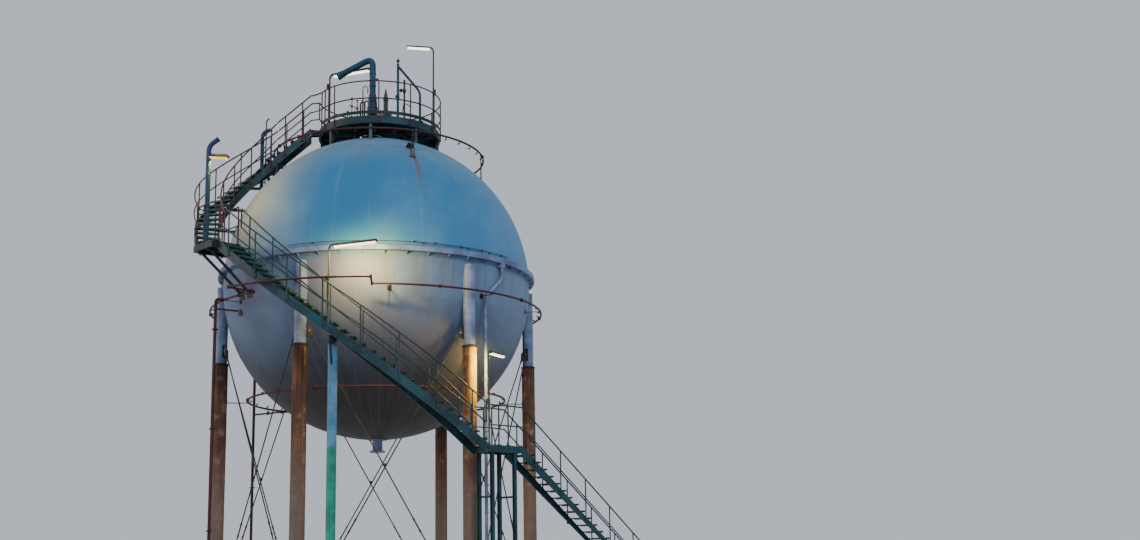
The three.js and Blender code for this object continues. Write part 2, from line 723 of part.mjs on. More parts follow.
// Low landing: on four legs beside the tank, where the straight flight turns into the curved one.
const LOW_OUTER = STAIR_OUTER + 25;
const LOW_INNER = STAIR_INNER - 25;
const LOW_LEG = 100;
const LOW_FOOT = 220;
const lowOutline = [
  ...planArc(LOW_OUTER, FLIGHT_1.to, 49, 3),
  groundFlight.line(HALF_WIDTH + 6, GROUND_GAP),
  groundFlight.line(-HALF_WIDTH - 6, GROUND_GAP),
  ...planArc(LOW_INNER, 49.5, FLIGHT_1.to, 3),
];
const lowLegs = [40.6, 48.6].flatMap((bearing) => [LOW_INNER + 85, LOW_OUTER - 85].map((radius) => join([
  block(polar(radius, bearing), bearing, LOW_LEG, LOW_LEG, 10, LANDING_LOW - LANDING_DEPTH + 20),
  block(polar(radius, bearing), bearing, LOW_FOOT, LOW_FOOT, 0, 20),
])));
add('low_landing', join([landing(lowOutline, LANDING_LOW), ...lowLegs]), 'steelwork');

// Middle landing: wider than the flights, on two braced brackets from the shell.
const MIDDLE_OUTER = 1.29 * TANK_RADIUS;
const middleOutline = [
  ...planArc(LOW_INNER, FLIGHT_1.from, FLIGHT_2.to, 2),
  ...planArc(MIDDLE_OUTER, FLIGHT_2.to, FLIGHT_1.from, 2),
];
const ARM_HIGH = LANDING_MIDDLE - LANDING_DEPTH + 10;
const middleArms = [-43.5, -48.5].flatMap((bearing) => [
  standOff(bearing, TANK_RADIUS - 80, MIDDLE_OUTER - 30, ARM_HIGH - 85, ARM_HIGH, 80),
  pipe([
    polar3(1.26 * TANK_RADIUS, bearing, ARM_HIGH - 60),
    polar3(0.975 * TANK_RADIUS, bearing, CENTRE_HEIGHT - 0.16 * TANK_RADIUS),
  ], 45, 8),
]);
add('middle_landing', join([landing(middleOutline, LANDING_MIDDLE), ...middleArms])
  .subtract(shellSpace), 'steelwork');

const scaled = (x, y) => [x * TANK_RADIUS, y * TANK_RADIUS];

// Stair post: one tall tube under the curved flight, with a cross beam and knee braces.
const POST_BEARING = -4;
const POST_PLACE = 1.175 * TANK_RADIUS;
const POST_TUBE = 136;
const POST_BEAM = 120;
const postNosing = nosing(lowerFlight, POST_BEARING + 0.6);
const beamTop = postNosing - STRINGER_DEPTH + NOSING_COVER + 5;
const BEAM_DEPTH = 200;
const kneeBraces = [-1, 1].map((side) => pipe([
  polar3(POST_PLACE, POST_BEARING, beamTop - 800),
  polar3(POST_PLACE + side * 330, POST_BEARING, beamTop - BEAM_DEPTH + 30),
], 35));
add('stair_post', join([
  upright(polar(POST_PLACE, POST_BEARING), 10, beamTop - BEAM_DEPTH + 20, POST_TUBE),
  block(polar(POST_PLACE, POST_BEARING), POST_BEARING, 480, 480, 0, 25),
  block(polar(POST_PLACE, POST_BEARING), POST_BEARING, POST_BEAM, 0.168 * TANK_RADIUS,
    beamTop - BEAM_DEPTH, beamTop),
  ...kneeBraces,
]).subtract(join(stringers(lowerFlight, GAP))), 'steelwork');

// Top platform: a ring beam on eight struts, a deck round the crown fittings

const beamHigh = DECK_HEIGHT - DECK_PLATE - GAP;
const STRUT = 90;
const INNER_BEAM_WIDTH = 60;

function ringBeam(outer, width, low, high, sides = DECK_SIDES) {
  return turned([
    [outer - width, low],
    [outer, low],
    [outer, high],
    [outer - width, high],
    [outer - width, low],
  ], sides);
}

const platformFrame = [
  ringBeam(DECK_RADIUS, RING_BEAM_WIDTH, beamHigh - RING_BEAM_DEPTH, beamHigh),
  ringBeam(INNER_BEAM + INNER_BEAM_WIDTH, INNER_BEAM_WIDTH, beamHigh - RING_BEAM_DEPTH / 2,
    beamHigh, LEG_SIDES),
];
for (let bearing = 0; bearing < 360; bearing += 45) {
  platformFrame.push(block(polar(DECK_RADIUS - RING_BEAM_WIDTH - 5, bearing), bearing, STRUT, STRUT,
    shellHeight(DECK_RADIUS) - 60, beamHigh - 20));
}
[0, 90, 180, 270].forEach((bearing) => {
  platformFrame.push(standOff(bearing, INNER_BEAM + INNER_BEAM_WIDTH / 2, DECK_RADIUS - RING_BEAM_WIDTH / 2,
    beamHigh - RING_BEAM_DEPTH / 2, beamHigh, INNER_BEAM_WIDTH));
});
add('platform_frame', join(platformFrame).subtract(shellSpace), 'steelwork');

// The deck is closed but for holes round the manway and the relief valve's nozzle.
const MANWAY_PLACE = scaled(-0.062, 0.052);
const RELIEF_PLACE = scaled(0.0465, -0.05);
const MANWAY_HOLE = 420;
const RELIEF_HOLE = 140;
const deckLow = DECK_HEIGHT - DECK_PLATE;
const entryPlate = [
  topFlight.line(HALF_WIDTH - 4, 0),
  topFlight.line(4 - HALF_WIDTH, 0),
  polar(DECK_RADIUS - 60, -72),
  polar(DECK_RADIUS - 60, -90),
];
const deckHoles = join([
  upright(MANWAY_PLACE, deckLow - 10, DECK_HEIGHT + 10, MANWAY_HOLE, MANWAY_HOLE, 20),
  upright(RELIEF_PLACE, deckLow - 10, DECK_HEIGHT + 10, RELIEF_HOLE),
]);
add('platform_deck', join([
  upright([0, 0], deckLow, DECK_HEIGHT, DECK_RADIUS, DECK_RADIUS, DECK_SIDES),
  prism(entryPlate, deckLow, DECK_HEIGHT),
]).subtract(deckHoles), 'steelwork');

// Handrails: a top rail, a mid rail and posts, from a line of feet

const POST_HALF = RAIL_RADIUS * Math.cos(Math.PI / RAIL_SIDES);
const RAIL_HALF = 22;
const SHARP_TURN = 0.9;
const RAIL_BEND = 90;

// Rounds the sharp corners of a rail's line and leaves its gentle ones.
function railRoute(points) {
  const result = [points[0]];
  for (let i = 1; i < points.length - 1; i += 1) {
    const three = [points[i - 1], points[i], points[i + 1]];
    const [a, b, c] = three.map((point) => new THREE.Vector3(...point));
    const turn = b.clone().sub(a).normalize().dot(c.clone().sub(b).normalize());
    if (turn < SHARP_TURN) {
      result.push(...rounded(three, RAIL_BEND, 2).slice(1, -1));
    } else {
      result.push(points[i]);
    }
  }
  result.push(points[points.length - 1]);
  return result;
}

// A post is a square bar with one flat turned to its bearing.
function post([x, y], bearing, low, high) {
  return upright([x, y], low, high, RAIL_RADIUS, RAIL_RADIUS, RAIL_SIDES, bearing + 180 / RAIL_SIDES);
}

// One handrail: its lines and posts as one piece.
function handrail(name, finish, stretches) {
  add(name, join(stretches.flat()).intersect(aboveGround), finish);
}

// A flight's stretch: its posts stand against the middle of the stringer's facets.
function besideFlight(flight, side, posts, bays) {
  const { from, to, inner, outer, steps, line, straight } = flight;
  const facet = straight ? 0 : radians((to - from) / steps / 2);
  const face = side === 'outer' ? outer * Math.cos(facet) : inner * Math.cos(facet);
  const seat = straight ? flight[side] : face;
  const across = side === 'outer' ? seat + GAP + POST_HALF : seat - GAP - POST_HALF;
  const reach = across / Math.cos(facet);
  const lines = [RAIL_HEIGHT, RAIL_HEIGHT / 2].map((height) => bar(line, {
    ...flight,
    steps: straight ? 1 : steps,
    inner: reach - RAIL_HALF,
    outer: reach + RAIL_HALF,
    drop: RAIL_HALF,
    rise: RAIL_HALF,
    startHeight: flight.startHeight + height,
    endHeight: flight.endHeight + height,
  }));
  const uprights = posts.map((bay) => {
    const along = from + ((to - from) * (bay - 0.5)) / bays;
    const height = nosing(flight, along);
    const bearing = straight ? flight.heading : along;
    return post(line(across, along), bearing, height - POST_FOOT, height + RAIL_HEIGHT);
  });
  return [...lines, ...uprights];
}

// A landing's stretch: its posts stand on the plate.
function onLanding(corners, postPlaces, height) {
  const lines = [RAIL_HEIGHT, RAIL_HEIGHT / 2].map((rail) =>
    pipe(railRoute(corners.map(([x, y]) => [x, y, height + rail])), RAIL_RADIUS, RAIL_SIDES));
  const uprights = postPlaces.map((place) => post(place, 0, height + GAP, height + RAIL_HEIGHT));
  return [...lines, ...uprights];
}

// The plan point where a flight's rail meets a landing.
function railEnd(flight, side, along) {
  const across = side === 'outer' ? flight.outer + POST_HALF : flight.inner - POST_HALF;
  return flight.line(across, along);
}

const EDGE = 45;
const LOWER_POSTS = [1, 2, 3, 4, 5, 6, 7, 8];
const UPPER_POSTS = [1, 3, 5, 7, 10];
const TOP_POSTS = [1, 2];
const GROUND_POSTS = [1, 2, 3, 4, 5, 6];
const railGround = { ...groundFlight, straight: true };
const inFromLanding = { ...lowerFlight, from: lowerFlight.from + 0.15, to: lowerFlight.to - 0.15 };

handrail('lower_outer_handrail', 'greenRail', besideFlight(inFromLanding, 'outer', LOWER_POSTS, 8));
handrail('lower_inner_handrail', 'greenRail', besideFlight(inFromLanding, 'inner', LOWER_POSTS, 8));

const lowOuterRail = [
  ...planArc(LOW_OUTER - EDGE, FLIGHT_1.to + 0.3, 46, 2),
  railEnd(railGround, 'outer', railGround.from + 60),
];
handrail('ground_outer_handrail', 'greenRail', [
  onLanding(lowOuterRail, [lowOuterRail[1], lowOuterRail[2]], LANDING_LOW),
  besideFlight(railGround, 'outer', GROUND_POSTS, 6),
]);
const lowInnerRail = [
  ...planArc(LOW_INNER + EDGE, FLIGHT_1.to + 0.3, 46, 2),
  railEnd(railGround, 'inner', railGround.from + 60),
];
handrail('ground_inner_handrail', 'greenRail', [
  onLanding(lowInnerRail, [lowInnerRail[1], lowInnerRail[2]], LANDING_LOW),
  besideFlight(railGround, 'inner', GROUND_POSTS, 6),
]);

const middleOuterRail = [
  polar(STAIR_OUTER + 60, FLIGHT_1.from - 0.5),
  polar(MIDDLE_OUTER - EDGE, FLIGHT_1.from - 0.5),
  polar(MIDDLE_OUTER - EDGE, -46),
  polar(MIDDLE_OUTER - EDGE, FLIGHT_2.to + 0.5),
  railEnd(upperFlight, 'outer', FLIGHT_2.to + 0.4),
  railEnd(upperFlight, 'outer', FLIGHT_2.to - 0.4),
];
handrail('upper_outer_handrail', 'handrail', [
  onLanding(middleOuterRail, [middleOuterRail[0], middleOuterRail[2]], LANDING_MIDDLE),
  besideFlight(upperFlight, 'outer', UPPER_POSTS, 10),
]);
const middleInnerRail = [
  ...planArc(LOW_INNER + EDGE, FLIGHT_1.from - 0.4, FLIGHT_2.to + 1, 2),
  railEnd(upperFlight, 'inner', FLIGHT_2.to - 0.4),
];
handrail('upper_inner_handrail', 'handrail', [
  onLanding(middleInnerRail, [middleInnerRail[0], middleInnerRail[2]], LANDING_MIDDLE),
  besideFlight(upperFlight, 'inner', UPPER_POSTS, 10),
]);

const railTop = { ...topFlight, straight: true };
const toPlatform = (side, bearing) => [
  railEnd(railTop, side, railTop.from + 60),
  railEnd(railTop, side, -60),
  polar(DECK_RADIUS + 20, bearing),
];
handrail('top_far_handrail', 'handrail', [
  onLanding(toPlatform('outer', -88.6), [], DECK_HEIGHT),
  besideFlight(railTop, 'outer', TOP_POSTS, 2),
]);
handrail('top_near_handrail', 'handrail', [
  onLanding(toPlatform('inner', -60.7), [], DECK_HEIGHT),
  besideFlight(railTop, 'inner', TOP_POSTS, 2),
]);

// The platform's handrail stands against the ring beam's facets, open where the stair arrives.
const PLATFORM_RAIL = { from: -60, to: 270, steps: 22 };
const PLATFORM_POSTS = [-52.5, -37.5, 7.5, 37.5, 67.5, 97.5, 127.5, 157.5, 187.5, 217.5, 247.5, 262.5];
const TOE_BAR = 90;
const facetFactor = Math.cos(Math.PI / DECK_SIDES);
const platformSeat = DECK_RADIUS * facetFactor + GAP + POST_HALF;
const platformReach = platformSeat / facetFactor;
const platformLines = [RAIL_HEIGHT, RAIL_HEIGHT / 2, TOE_BAR].map((height) => bar(tankLine, {
  ...PLATFORM_RAIL,
  inner: platformReach - RAIL_HALF,
  outer: platformReach + RAIL_HALF,
  drop: RAIL_HALF,
  rise: RAIL_HALF,
  startHeight: DECK_HEIGHT + height,
  endHeight: DECK_HEIGHT + height,
}));
const platformPosts = PLATFORM_POSTS.map((bearing) => post(polar(platformSeat, bearing), bearing,
  beamHigh - RING_BEAM_DEPTH + 40, DECK_HEIGHT + RAIL_HEIGHT));
add('platform_handrail', join([...platformLines, ...platformPosts]), 'handrail');

// Fittings on the crown and the platform

const deckTop = DECK_HEIGHT + GAP;

// Vent stack: it stands on the deck, tapers up from its foot and turns over.
const VENT_PIPE = 105;
const VENT_FLARE = 135;
const VENT_FOOT = 175;
const VENT_SHOULDER = 128;
const ventFoot = scaled(0.0055, -0.36);
const shoulderTop = CENTRE_HEIGHT + 1.217 * TANK_RADIUS;
const ventTurn = [...ventFoot, CENTRE_HEIGHT + 1.48 * TANK_RADIUS];
const ventEnd = [ventFoot[0] - 0.233 * TANK_RADIUS, ventFoot[1], CENTRE_HEIGHT + 1.353 * TANK_RADIUS];
const FLARE_LENGTH = 260;
const ventAim = new THREE.Vector3(...ventEnd).sub(new THREE.Vector3(...ventTurn)).normalize();
const flareMiddle = new THREE.Vector3(...ventEnd).addScaledVector(ventAim, -FLARE_LENGTH / 2);
const flare = new THREE.CylinderGeometry(VENT_FLARE, VENT_PIPE, FLARE_LENGTH, LEG_SIDES);
flare.applyQuaternion(new THREE.Quaternion().setFromUnitVectors(new THREE.Vector3(0, 1, 0), ventAim));
flare.translate(...flareMiddle.toArray());
add('vent_stack', join([
  upright(ventFoot, deckTop, deckTop + 25, VENT_FOOT + 25),
  upright(ventFoot, deckTop, shoulderTop, VENT_FOOT, VENT_SHOULDER),
  pipe(rounded([[...ventFoot, shoulderTop - 50], ventTurn, ventEnd], 300), VENT_PIPE, 10),
  solid(flare),
]), 'vent');

// Relief valve on its crown nozzle: body, bonnet and pointed cap, with a lever on each side.
const RELIEF_FLANGE = DECK_HEIGHT + 180;
const RELIEF_BONNET = RELIEF_FLANGE + 520;
const RELIEF_TIP = CENTRE_HEIGHT + 1.382 * TANK_RADIUS;
add('relief_valve', join([
  upright(RELIEF_PLACE, CENTRE_HEIGHT + 0.97 * TANK_RADIUS, RELIEF_FLANGE, 105),
  upright(RELIEF_PLACE, RELIEF_FLANGE - 40, RELIEF_FLANGE + 50, 180),
  upright(RELIEF_PLACE, RELIEF_FLANGE, RELIEF_BONNET, 150),
  upright(RELIEF_PLACE, RELIEF_BONNET, RELIEF_TIP - 330, 75),
  upright(RELIEF_PLACE, RELIEF_TIP - 330, RELIEF_TIP, 75, 14),
  block(RELIEF_PLACE, 0, 300, 40, RELIEF_BONNET - 20, RELIEF_BONNET + 30),
]).subtract(shellSpace), 'vent');

// Crown manway: a short neck with a bolted cover.
const MANWAY_FACE = CENTRE_HEIGHT + TANK_RADIUS + 330;
add('crown_manway', join([
  upright(MANWAY_PLACE, CENTRE_HEIGHT + 0.97 * TANK_RADIUS, MANWAY_FACE, 280, 280, 16),
  upright(MANWAY_PLACE, MANWAY_FACE - 100, MANWAY_FACE, 350, 350, 16),
]).subtract(shellSpace), 'shell');

// Davit: a bent pipe frame that stands on the deck.
const DAVIT_PIPE = 42;
const davitTall = scaled(0.163, -0.3);
const davitShort = scaled(0.303, -0.25);
const davitPeak = CENTRE_HEIGHT + 1.455 * TANK_RADIUS;
const davitShoulder = CENTRE_HEIGHT + 1.28 * TANK_RADIUS;
const DAVIT_FOOT = 110;
add('davit', join([
  pipe(rounded([[...davitShort, deckTop], [...davitShort, davitShoulder], [...davitTall, davitPeak - 60]],
    160, 3), DAVIT_PIPE, 8),
  upright(davitTall, deckTop, davitPeak, DAVIT_PIPE, DAVIT_PIPE, 8),
  upright(davitShort, deckTop, deckTop + 20, DAVIT_FOOT, DAVIT_FOOT, 8),
  upright(davitTall, deckTop, deckTop + 20, DAVIT_FOOT, DAVIT_FOOT, 8),
  upright(davitTall, davitPeak - 10, davitPeak + 200, 22, 22, 8),
  upright(davitTall, davitPeak + 90, davitPeak + 150, 55, 55, 8),
]), 'vent');

// Gooseneck vent on the deck.
const neckFoot = scaled(-0.085, -0.2);
const neckHigh = CENTRE_HEIGHT + 1.33 * TANK_RADIUS;
add('gooseneck_vent', join([
  upright(neckFoot, deckTop, deckTop + 16, 90, 90, 8),
  pipe([
    [...neckFoot, deckTop],
    ...[180, 135, 90, 45, 0].map((angle) => [
      neckFoot[0] + 80 + 80 * Math.cos(radians(angle)),
      neckFoot[1],
      neckHigh + 80 * Math.sin(radians(angle)),
    ]),
    [neckFoot[0] + 160, neckFoot[1], neckHigh - 160],
  ], 24),
]), 'lamp');

// Side vent: an upright pipe on the shell beside the top flight.
const sideFoot = scaled(-0.79, -0.03);
const SIDE_PIPE = 64;
const sideHigh = CENTRE_HEIGHT + 1.09 * TANK_RADIUS;
add('side_vent', pipe(rounded([
  [...sideFoot, CENTRE_HEIGHT + 0.56 * TANK_RADIUS],
  [...sideFoot, sideHigh],
  [sideFoot[0] + 260, sideFoot[1], sideHigh + 110],
], 200), SIDE_PIPE, 8).subtract(shellSpace), 'vent');

// Landing vent: a tall bent pipe on the middle landing, with a lamp on its side.
const landingVent = polar(1.252 * TANK_RADIUS, -47);
const LANDING_PIPE = 76;
const ventHigh = CENTRE_HEIGHT + 0.75 * TANK_RADIUS;
const VENT_LAMP = CENTRE_HEIGHT + 0.675 * TANK_RADIUS;
add('landing_vent', join([
  upright(landingVent, LANDING_MIDDLE + GAP, LANDING_MIDDLE + 25, 100),
  pipe(rounded([
    [...landingVent, LANDING_MIDDLE + 10],
    [...landingVent, ventHigh - 60],
    [landingVent[0] + 300, landingVent[1], ventHigh + 160],
  ], 260), LANDING_PIPE, 10),
  block([landingVent[0] + 330, landingVent[1] - 60], -12, 700, 150, VENT_LAMP - 60, VENT_LAMP + 60),
]), 'vent');

// Lamps: a pole that turns over into an arm, with a long fixture under the arm

const FIXTURE_WIDTH = 170;
const FIXTURE_DEPTH = 110;
const FIXTURE_LAP = 15;

function lamp(name, { foot, low, high, heading, length, fixture, rise, pole = POLE_RADIUS, cut = null }) {
  const aim = [Math.cos(radians(heading)), Math.sin(radians(heading))];
  const tip = [foot[0] + aim[0] * length, foot[1] + aim[1] * length, high + rise];
  const reach = length + FIXTURE_LAP - fixture / 2;
  const centre = [foot[0] + aim[0] * reach, foot[1] + aim[1] * reach];
  const fixtureTop = high + rise * 0.3;
  let body = join([
    pipe(rounded([[...foot, low], [...foot, high], tip], 160), pole),
    block(centre, heading, fixture, FIXTURE_WIDTH, fixtureTop - FIXTURE_DEPTH, fixtureTop + 20),
  ]);
  if (cut) {
    body = body.subtract(cut);
  }
  add(name, body, 'lamp');
}

lamp('platform_lamp_right', {
  foot: polar(0.397 * TANK_RADIUS, 72),
  low: deckTop,
  high: CENTRE_HEIGHT + 1.64 * TANK_RADIUS,
  heading: 187,
  length: 880,
  fixture: 800,
  rise: 30,
});
lamp('platform_lamp_left', {
  foot: polar(0.397 * TANK_RADIUS, -47.6),
  low: deckTop,
  high: CENTRE_HEIGHT + 1.405 * TANK_RADIUS,
  heading: -10,
  length: 1350,
  fixture: 1240,
  rise: 110,
});
lamp('stair_lamp', {
  foot: polar(STAIR_OUTER - 62, -4.66),
  low: nosing(lowerFlight, -4.66) + NOSING_COVER - 12,
  high: CENTRE_HEIGHT + 0.01 * TANK_RADIUS,
  heading: -12,
  length: 1430,
  fixture: 1300,
  rise: 60,
  pole: 26,
  cut: join(stringers(lowerFlight, GAP)),
});
lamp('landing_lamp', {
  foot: polar(1.232 * TANK_RADIUS, 39.9),
  low: LANDING_LOW + GAP,
  high: CENTRE_HEIGHT - 0.575 * TANK_RADIUS,
  heading: 72,
  length: 1150,
  fixture: 1050,
  rise: 40,
  pole: 26,
});

// The group's origin is the middle of the ground rectangle that the whole tank covers.
const bounds = new THREE.Box3().setFromObject(tank);
const middle = bounds.getCenter(new THREE.Vector3());
tank.position.set(-middle.x, -middle.y, -bounds.min.z);
tank.updateMatrixWorld(true);

export default tank;
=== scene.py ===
"""Looks of the spherical gas tank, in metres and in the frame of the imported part.

Bearings are in degrees about the vessel's upright axis: 0 points at -Y and 90 at +X.
"""

import math
import random

import bpy
from mathutils import Matrix, Quaternion, Vector
from mathutils.geometry import tessellate_polygon


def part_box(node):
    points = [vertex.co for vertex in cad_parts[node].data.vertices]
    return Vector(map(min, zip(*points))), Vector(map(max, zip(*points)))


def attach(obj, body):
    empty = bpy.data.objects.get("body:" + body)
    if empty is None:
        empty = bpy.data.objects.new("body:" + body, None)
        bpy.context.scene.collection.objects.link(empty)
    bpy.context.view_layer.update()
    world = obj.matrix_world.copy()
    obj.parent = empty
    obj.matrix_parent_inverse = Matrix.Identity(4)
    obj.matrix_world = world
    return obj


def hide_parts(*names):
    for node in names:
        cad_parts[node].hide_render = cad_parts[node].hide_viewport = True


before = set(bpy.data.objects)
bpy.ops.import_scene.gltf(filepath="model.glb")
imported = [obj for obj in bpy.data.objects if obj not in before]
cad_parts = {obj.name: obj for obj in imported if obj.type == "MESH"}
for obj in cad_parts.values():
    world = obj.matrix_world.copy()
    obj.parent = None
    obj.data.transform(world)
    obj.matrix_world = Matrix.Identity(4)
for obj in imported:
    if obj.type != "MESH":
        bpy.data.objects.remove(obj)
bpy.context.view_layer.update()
dice = random.Random(7)

# Sizes shared by the pieces

course_low, course_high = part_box("upper_course")
AXIS_X = (course_low.x + course_high.x) / 2
AXIS_Y = (course_low.y + course_high.y) / 2
CENTRE = (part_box("bottom_crown")[0].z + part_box("top_crown")[1].z) / 2
RADIUS = 4.95
LEG_BEARINGS = (-18.5, 41.5, 101.5, 161.5, 221.5, 281.5)
STAIR_INNER = 1.1 * RADIUS
STAIR_OUTER = 1.25 * RADIUS
STAIR_MIDDLE = (STAIR_INNER + STAIR_OUTER) / 2
HALF_WIDTH = (STAIR_OUTER - STAIR_INNER) / 2
LANDING_INNER, LANDING_OUTER = STAIR_INNER - 0.025, STAIR_OUTER + 0.025
MIDDLE_OUTER = 1.29 * RADIUS
LOW_LANDING, MIDDLE_LANDING, UPPER_HEAD, DECK = 4.86, 11.045, 14.75, 15.745
RAIL_HEIGHT = 1.16
RAIL_LINES = ((RAIL_HEIGHT, 0.023), (RAIL_HEIGHT / 2, 0.02))  # height and radius of top and mid rail
RAIL_LEDGE = 0.018  # how far a rail stands out from the stair's side
FACET = 1.6  # degrees of a curved flight between two of its sections
DECK_RADIUS = 0.407 * RADIUS
INNER_BEAM = 0.165 * RADIUS
UP = Vector((0, 0, 1))
MIDDLE = Vector((AXIS_X, AXIS_Y, CENTRE))
GUTTER_FLOOR = CENTRE + 0.15
PROP_CHANGE = 4.8  # height at which the prop's paint changes
FORM_HEIGHT = 0.9  # height of each pour of the casings
CORNERS = ((-1, -1), (1, -1), (1, 1), (-1, 1))
SHARPEST_MITRE = 0.6


def polar(radius, bearing, height=0.0):
    """A point at a radius and a bearing about the vessel's axis."""
    turn = math.radians(bearing)
    return Vector((AXIS_X + radius * math.sin(turn), AXIS_Y - radius * math.cos(turn), height))


def outward(bearing):
    turn = math.radians(bearing)
    return Vector((math.sin(turn), -math.cos(turn), 0))


def sideways(bearing):
    turn = math.radians(bearing)
    return Vector((math.cos(turn), math.sin(turn), 0))


def round_about(step, steps):
    """The direction of a step round a full turn, seen in plan."""
    turn = 2 * math.pi * step / steps
    return Vector((math.cos(turn), math.sin(turn), 0))


def near_axis(x, y, height):
    """A point given in shares of the vessel's radius from its axis."""
    return Vector((AXIS_X + x * RADIUS, AXIS_Y + y * RADIUS, height))


MANWAY_PLACE = near_axis(-0.062, 0.052, 0)
RELIEF_PLACE = near_axis(0.0465, -0.05, 0)


def shell_height(radius):
    return CENTRE + math.sqrt(RADIUS**2 - radius**2)


def shell_radius(height):
    return math.sqrt(RADIUS**2 - (height - CENTRE) ** 2)


def spread(first, last, count):
    return [first + (last - first) * i / count for i in range(count + 1)]


# Mesh making


def square_to(direction):
    """Two unit vectors at right angles to a direction."""
    direction = direction.normalized()
    helper = UP if abs(direction.z) < 0.9 else Vector((1, 0, 0))
    first = direction.cross(helper).normalized()
    return first, first.cross(direction).normalized()


class Body:
    """The points and faces of one piece while it is made."""

    def __init__(self):
        self.points = []
        self.faces = []
        self.finishes = []

    def add(self, points, faces, finish=0):
        start = len(self.points)
        self.points.extend(points)
        self.faces.extend([start + i for i in face] for face in faces)
        self.finishes.extend([finish] * len(faces))

    def loft(self, rings, finish=0, joined=False):
        """Skins rings of points. A joined loft meets its own start, and any other is capped."""
        count = len(rings[0])
        faces = []
        for i in range(len(rings) if joined else len(rings) - 1):
            here, there = i * count, (i + 1) % len(rings) * count
            for j in range(count):
                k = (j + 1) % count
                faces.append((here + j, here + k, there + k, there + j))
        if not joined:
            last = (len(rings) - 1) * count
            faces.append(tuple(range(count - 1, -1, -1)))
            faces.append(tuple(range(last, last + count)))
        self.add([p for ring in rings for p in ring], faces, finish)

    def hoop(self, section, height=0.0, count=120):
        """A closed ring about the vessel's axis, from (radius, height) pairs."""
        turns = [360 * j / count for j in range(count)]
        self.loft([[polar(r, b, height + z) for r, z in section] for b in turns], joined=True)

    def slab(self, outline, thickness):
        """A flat plate: its outline, carried both ways by half of its thickness, a vector."""
        self.loft([[p + thickness * way for p in outline] for way in (-0.5, 0.5)])

    def tube(self, points, radius, sides=10, finish=0, joined=False):
        """A round bar along points."""
        points = [Vector(p) for p in points]
        last = len(points) - 1
        rings = []
        first = None
        for i, point in enumerate(points):
            before = points[i - 1] if i > 0 or joined else point
            after = points[(i + 1) % len(points)] if i < last or joined else point
            arriving = (point - before).normalized() if i > 0 or joined else (after - point).normalized()
            leaving = (after - point).normalized() if i < last or joined else arriving
            along = (arriving + leaving).normalized()
            if first is None:
                first = square_to(along)[0]
            first = (first - along * first.dot(along)).normalized()
            second = along.cross(first)
            stretch = 1 / max(math.sqrt((1 + arriving.dot(leaving)) / 2), SHARPEST_MITRE)
            bend = leaving - arriving
            bend = bend.normalized() if bend.length > 1e-6 else None
            ring = []
            for k in range(sides):
                turn = 2 * math.pi * k / sides
                arm = (first * math.cos(turn) + second * math.sin(turn)) * radius
                if bend:
                    arm += bend * arm.dot(bend) * (stretch - 1)
                ring.append(point + arm)
            rings.append(ring)
        self.loft(rings, finish, joined)

    def turned(self, profile, at, sides=32, finish=0, direction=UP, joined=False):
        """A turned form from (radius, distance) pairs along a direction."""
        at, direction = Vector(at), Vector(direction).normalized()
        first, second = square_to(direction)
        turns = [2 * math.pi * k / sides for k in range(sides)]
        rings = []
        for radius, distance in profile:
            middle = at + direction * distance
            rings.append([middle + (first * math.cos(a) + second * math.sin(a)) * radius for a in turns])
        self.loft(rings, finish, joined)

    def band(self, at, radius, rise, half, sides, edge=0.005, direction=UP):
        """A raised band round a bar, with sloped edges."""
        high = radius + rise
        profile = [(radius, -half), (high, edge - half), (high, half - edge), (radius, half)]
        self.turned(profile, at, sides, 0, direction)

    def sole(self, foot, radius, thick, neck, high, sides):
        """The round foot plate of a pipe, and the neck above it."""
        self.turned([(radius, 0.001), (radius, thick), (neck, thick + 0.002), (neck, high)], foot, sides)

    def block(self, middle, size, along=(1, 0, 0), up=UP, finish=0):
        """A box of a size given along, across and up, with its long edges taken off."""
        middle, along, up = Vector(middle), Vector(along).normalized(), Vector(up)
        across = up.cross(along).normalized()
        up = along.cross(across)
        length, width, height = size
        edge = min(0.006, width * 0.2, height * 0.2)
        corners = []
        for a, b in CORNERS:
            flat = across * a * (width / 2 - edge) + up * b * height / 2
            side = across * a * width / 2 + up * b * (height / 2 - edge)
            corners += [side, flat] if a * b > 0 else [flat, side]
        self.loft([[middle + along * s * length / 2 + c for c in corners] for s in (-1, 1)], finish)

    def bar(self, radius, bearing, height, size, finish=0):
        """A box whose length points away from the vessel's axis."""
        self.block(polar(radius, bearing, height), size, outward(bearing), UP, finish)

    def prism(self, outline, low, high, finish=0):
        """An upright prism on a plan outline."""
        self.loft([[Vector((p[0], p[1], z)) for p in outline] for z in (low, high)], finish)

    def bolt(self, at, direction, size, finish=0):
        """A hexagon head on a washer, with its end standing out."""
        for profile, sides in (([(1, 0), (1, 0.18)], 12), ([(0.85, 0.18), (0.85, 0.9)], 6),
                               ([(0.45, 0.9), (0.4, 1.5)], 8)):
            self.turned([(size * r, size * d) for r, d in profile], at, sides, finish, direction)

    def bolts(self, at, count, radius, size, start, finish=1):
        """Upright bolts on a circle that starts at a bearing."""
        for k in range(count):
            self.bolt(at + outward(start + 360 * k / count) * radius, UP, size, finish)

    def flange(self, at, bore, radius, thickness, count, size):
        """A bolted pair of flanges about an upright pipe."""
        profile = [(bore, -thickness * 1.6), (bore * 1.1, -thickness), (radius * 0.97, -thickness)]
        profile += [(radius, -thickness * 0.9), (radius, -thickness * 0.08), (radius * 0.98, 0)]
        self.turned(profile + [(r, -d) for r, d in reversed(profile[:-1])], at, 28)
        first, second = square_to(UP)
        circle = (bore + radius) / 2 + 0.1 * (radius - bore)
        for k in range(count):
            turn = 2 * math.pi * (k + 0.5) / count
            arm = (first * math.cos(turn) + second * math.sin(turn)) * circle
            for side in (-1, 1):
                self.bolt(at + arm + UP * side * thickness, UP * side, size, 1)


